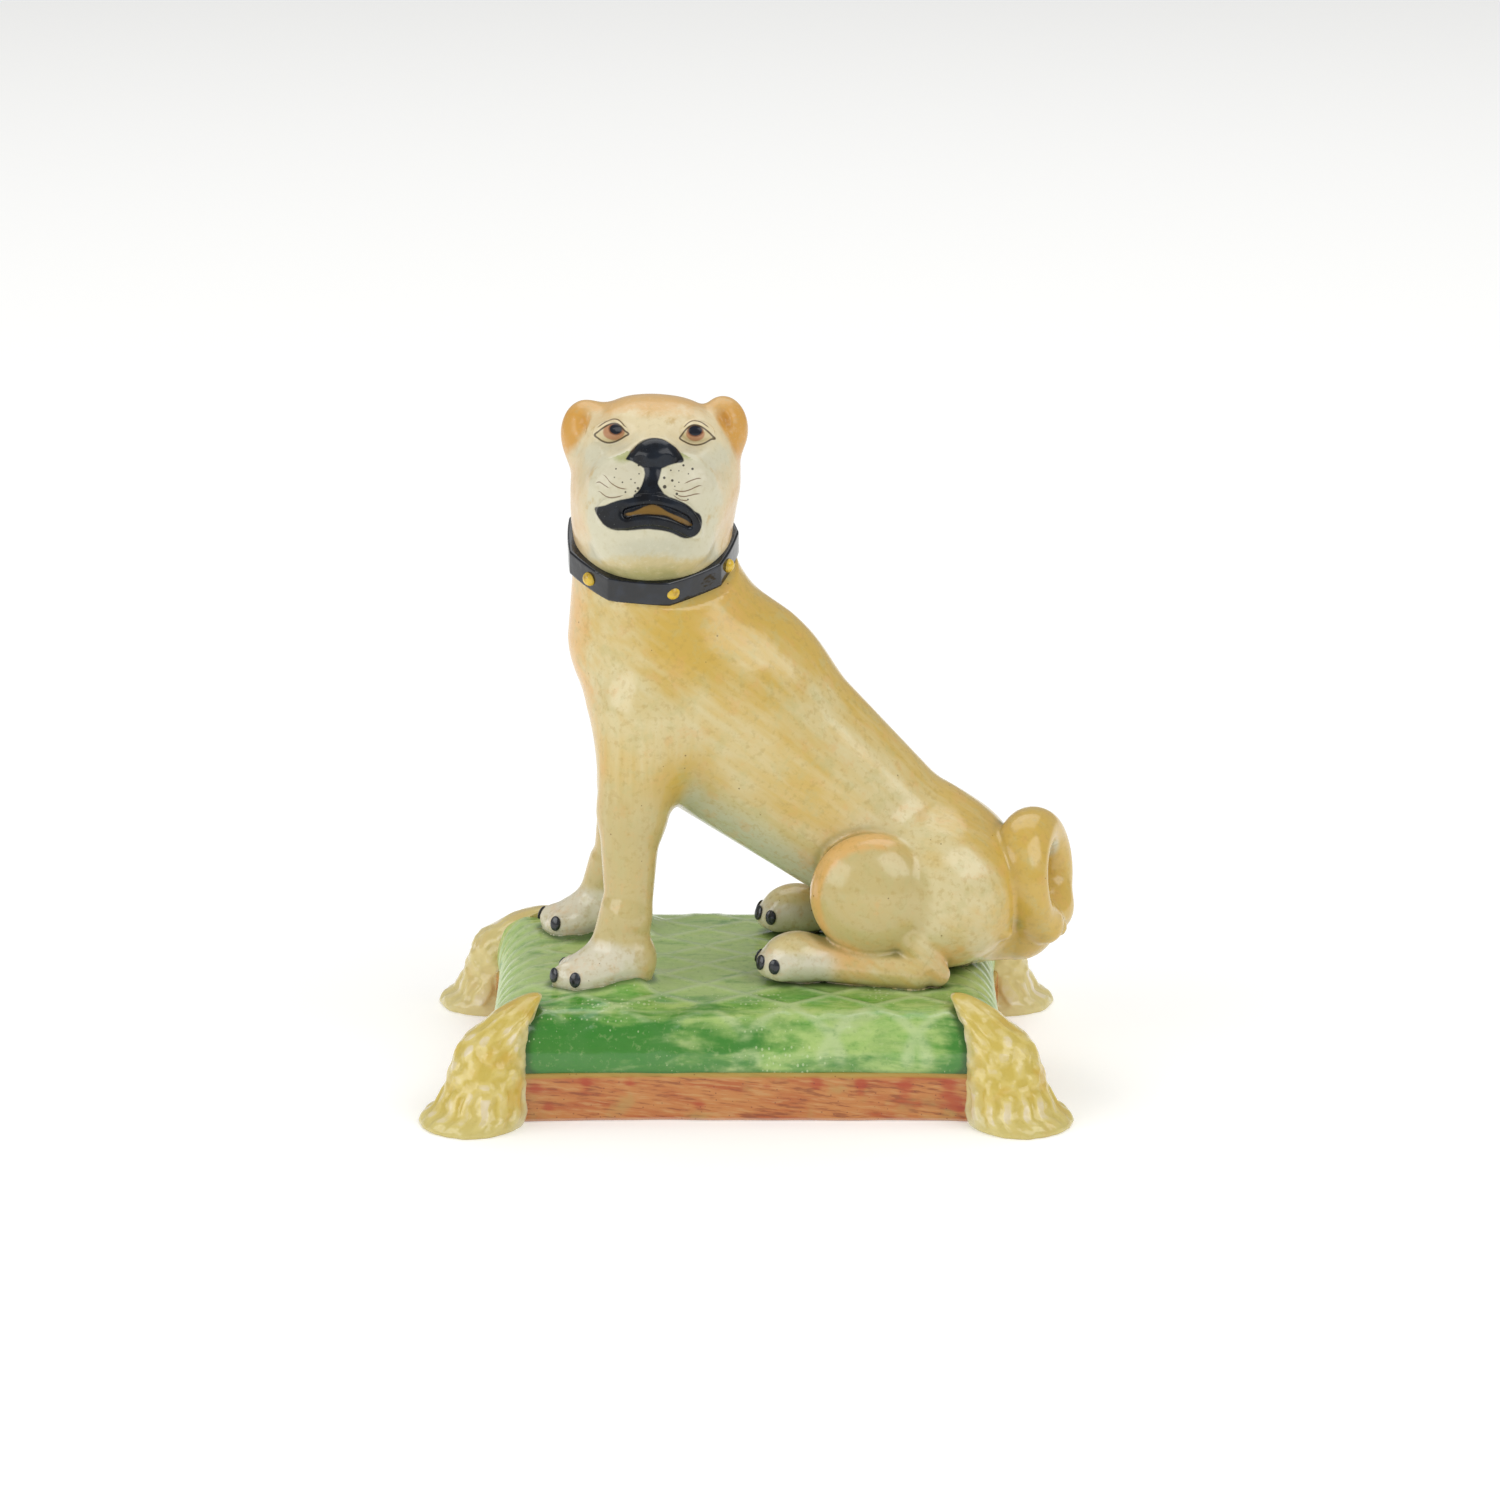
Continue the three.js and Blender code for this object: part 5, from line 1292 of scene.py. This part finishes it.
# Studs on the collar, and claws set on the toes

beadTree = makeBeadTree()


def onCollar(u, v, w):  # a place given in the collar's plane, as x, y and z
    c, s = cos(radians(collar["pitch"])), sin(radians(collar["pitch"]))
    return (collar["at"][0] + u, collar["at"][1] + v * s - w * c, collar["at"][2] + v * c + w * s)


studSpots, studWays = [], []
for angle in collar["studAngles"]:
    a = radians(angle)
    studSpots.append(onCollar(collar["studOut"] * sin(a), 0, collar["studFront"] * cos(a)))
    studWays.append(tuple(Vector(onCollar(sin(a), 0, cos(a))) - Vector(collar["at"])))
size = collar["studSize"] * mm
studs = grow("collarStuds", beadTree, startMesh("studPlaces", studSpots, studWays),
             {"Width": size, "Height": size, "Thickness": size * 0.9}, makeStudGlaze())

claw = {
    "Width": 0.95, "Height": 1.25, "Thickness": 0.35,
    # each starts a little above its toe's middle and is drawn onto the toe
    "lift": 0.5, "drawStep": 0.1, "drawMost": 10.0, "rounds": 4, "facingStep": 0.3,
}


def settledClaws():
    spots = []
    for x, y, z in clawPlaces(foreClaws):
        for side in (-1, 1):
            spots.append((x - dog["skew"] * side * y, dog["middle"] + side * y, z + claw["lift"]))
    for x, y, z in clawPlaces(hindClaws):
        spots += [(x, dog["hindMiddle"] + side * y, z + claw["lift"]) for side in (-1, 1)]
    points = np.array(spots).T.astype(np.float32)
    points = drawOnto(bodyDistance, points, claw["drawStep"], claw["drawMost"], claw["rounds"])
    return points.T, facingOf(bodyDistance, points, claw["facingStep"]).T


claws = grow("pawClaws", beadTree, startMesh("clawPlaces", *settledClaws()),
             {name: claw[name] * mm for name in ("Width", "Height", "Thickness")}, makeClawGlaze())

# Pillow and band, each a net of rings, and the tassels at their corners


def pillowPaints(points, normals, relief):
    x, y, z = points
    across, deep = np.abs(x), np.abs(y)
    end, side = cushionEdges(across, deep)
    inset = np.minimum(side - deep, end - across)
    frontal = fade(np.abs(normals[1]), 0.5, 0.95)
    green = 0.2 + 0.62 * np.exp(-((x + 26) / 17) ** 2) + 0.8 * np.exp(-((x - 34) / 6) ** 2)
    # paler where the cushion faces the front, its ends and up
    paleByFacing = 0.16 * frontal * fade(x, -26, 8) * fade(-y, 0, 20)
    paleByFacing = paleByFacing + 0.3 * fade(normals[2], 0.5, 0.9) * fade(y, -22, -12)
    # dark places, of pooled glaze and painted shade: beside the tassels, above the band, round the feet and
    # by the far front paw
    rings = np.array(tassel["rings"])[1:]
    out, front, radius = (np.interp(z, rings[:, 0], rings[:, i]) for i in (2, 3, 1))
    beside = np.maximum(np.hypot(across - out, deep - front) - radius, 0)
    pool = np.exp(-(beside / 1.3) ** 2) * fade(-y, -5, 5) + 0.6 * np.exp(-((z - 8) / 0.6) ** 2)
    fromDog = np.maximum(read(bodyDistance, np.stack([x + cushion["middleX"], y, z], 0)), 0)
    pool = pool + 0.9 * np.exp(-(fromDog / 1.4) ** 2) + np.exp(-((x + 27) / 5) ** 2 - ((y - 9.5) / 2.6) ** 2)
    return {
        "relief": relief,
        "frontGreen": frontal * green + 0.6 * fade(-y, 19, 25) * fade(-x, -9, 12),
        "paleByFacing": paleByFacing + 0.2 * fade(np.abs(normals[0]), 0.4, 0.9),
        # painted highlight along the top of the roll
        "paintedEdgeHighlight": np.exp(-((inset - 4.8) / 0.7) ** 2) * fade(z, 14, 15),
        "pool": pool,
    }


points, faces = makePillow()
outward = smoothNormals(points, faces)
relief = cushionRelief(points[0], points[1]) * fade(points[2], pillow["reliefFrom"], pillow["reliefFull"])
points += outward * relief
marks = pillowPaints(points, outward, relief)
points[0] += cushion["middleX"]
pillowPiece = makeMesh("cushionPillow", points, faces, makePillowGlaze(), None, marks)

points, faces = makeBand()
points[0] += cushion["middleX"]
x, y, z = points
rust = sum(np.exp(-((x - blotX) / reach) ** 2 - ((z - blotZ) / (1.4 * reach)) ** 2)
           for blotX, blotZ, reach in band["blots"])
marks = {"topLine": fade(z, 6.6, 7.9), "footLine": fade(-z, -0.9, -0.3),
         "rust": rust * fade(-y, 20, 25) + 0.3 * fade(x, 5, 30)}
bandPiece = makeMesh("cushionBand", points, faces, makeBandGlaze(), None, marks)

tassels = grow("cushionTassels", makeTasselTree(), startMesh("tasselStart"), tasselSizes, makeTasselGlaze())

for piece in (body, headPiece, collarPiece, studs, claws, pillowPiece, bandPiece, tassels):
    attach(piece, "root")
    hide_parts(node)

# Floor, camera and lights

scene = bpy.context.scene
view = {"lens": 129.46, "sensor": 36.0, "aim": (0, 0, 52.6), "distance": 870.0, "rise": 16.0}
stand = {
    "world": 0.36, "floor": "#F6F6F4", "floorReach": 6, "floorGlow": 0.22,
    # direction to the right of the camera, height above level, distance, width, height (m), power (W)
    "boxes": [(-62, 24, 1.5, 1.3, 1.0, 9.5), (52, 42, 1.5, 1.2, 1.1, 9.6), (180, 62, 1.5, 1.6, 1.0, 7.4)],
}

reach = stand["floorReach"]
floorMesh = bpy.data.meshes.new("paleFloor")
floorMesh.from_pydata([(-reach, -reach, 0), (reach, -reach, 0), (reach, reach, 0), (-reach, reach, 0)],
                      [], [(0, 1, 2, 3)])
floor = bpy.data.objects.new("paleFloor", floorMesh)
scene.collection.objects.link(floor)
# white paper: matt, and lit from all round by the studio, so it glows a little
paper, tree, _ = newMaterial("whitePaper")
sheet = addNode(tree, "ShaderNodeBsdfPrincipled", {
    "Base Color": linear(stand["floor"]), "Roughness": 0.9,
    "Emission Color": (1, 1, 1, 1), "Emission Strength": stand["floorGlow"]})
addNode(tree, "ShaderNodeOutputMaterial", {"Surface": sheet})
floorMesh.materials.append(paper)

world = bpy.data.worlds.new("softSky")
world.use_nodes = True
world.node_tree.nodes["Background"].inputs["Color"].default_value = (1, 1, 1, 1)
world.node_tree.nodes["Background"].inputs["Strength"].default_value = stand["world"]
scene.world = world
scene.view_settings.view_transform = "Standard"


def facedTo(place):  # the turn that makes a camera or a light look from there at the aim
    return (aim - place).to_track_quat("-Z", "Y").to_euler()


aim = Vector(view["aim"]) * mm
rise = radians(view["rise"])
lens = bpy.data.cameras.new("photoCamera")
lens.lens, lens.sensor_width = view["lens"], view["sensor"]
camera = bpy.data.objects.new("photoCamera", lens)
camera.location = aim + Vector((0, -cos(rise), sin(rise))) * view["distance"] * mm
camera.rotation_euler = facedTo(camera.location)
scene.collection.objects.link(camera)
scene.camera = camera

for number, (turn, up, away, width, height, power) in enumerate(stand["boxes"]):
    light = bpy.data.lights.new("softBox%d" % number, "AREA")
    light.shape, light.size, light.size_y, light.energy = "RECTANGLE", width, height, power
    holder = bpy.data.objects.new(light.name, light)
    a, b = radians(turn), radians(up)
    holder.location = aim + Vector((sin(a) * cos(b), -cos(a) * cos(b), sin(b))) * away
    holder.rotation_euler = facedTo(holder.location)
    scene.collection.objects.link(holder)
print("floor, camera and", len(stand["boxes"]), "lights in place")
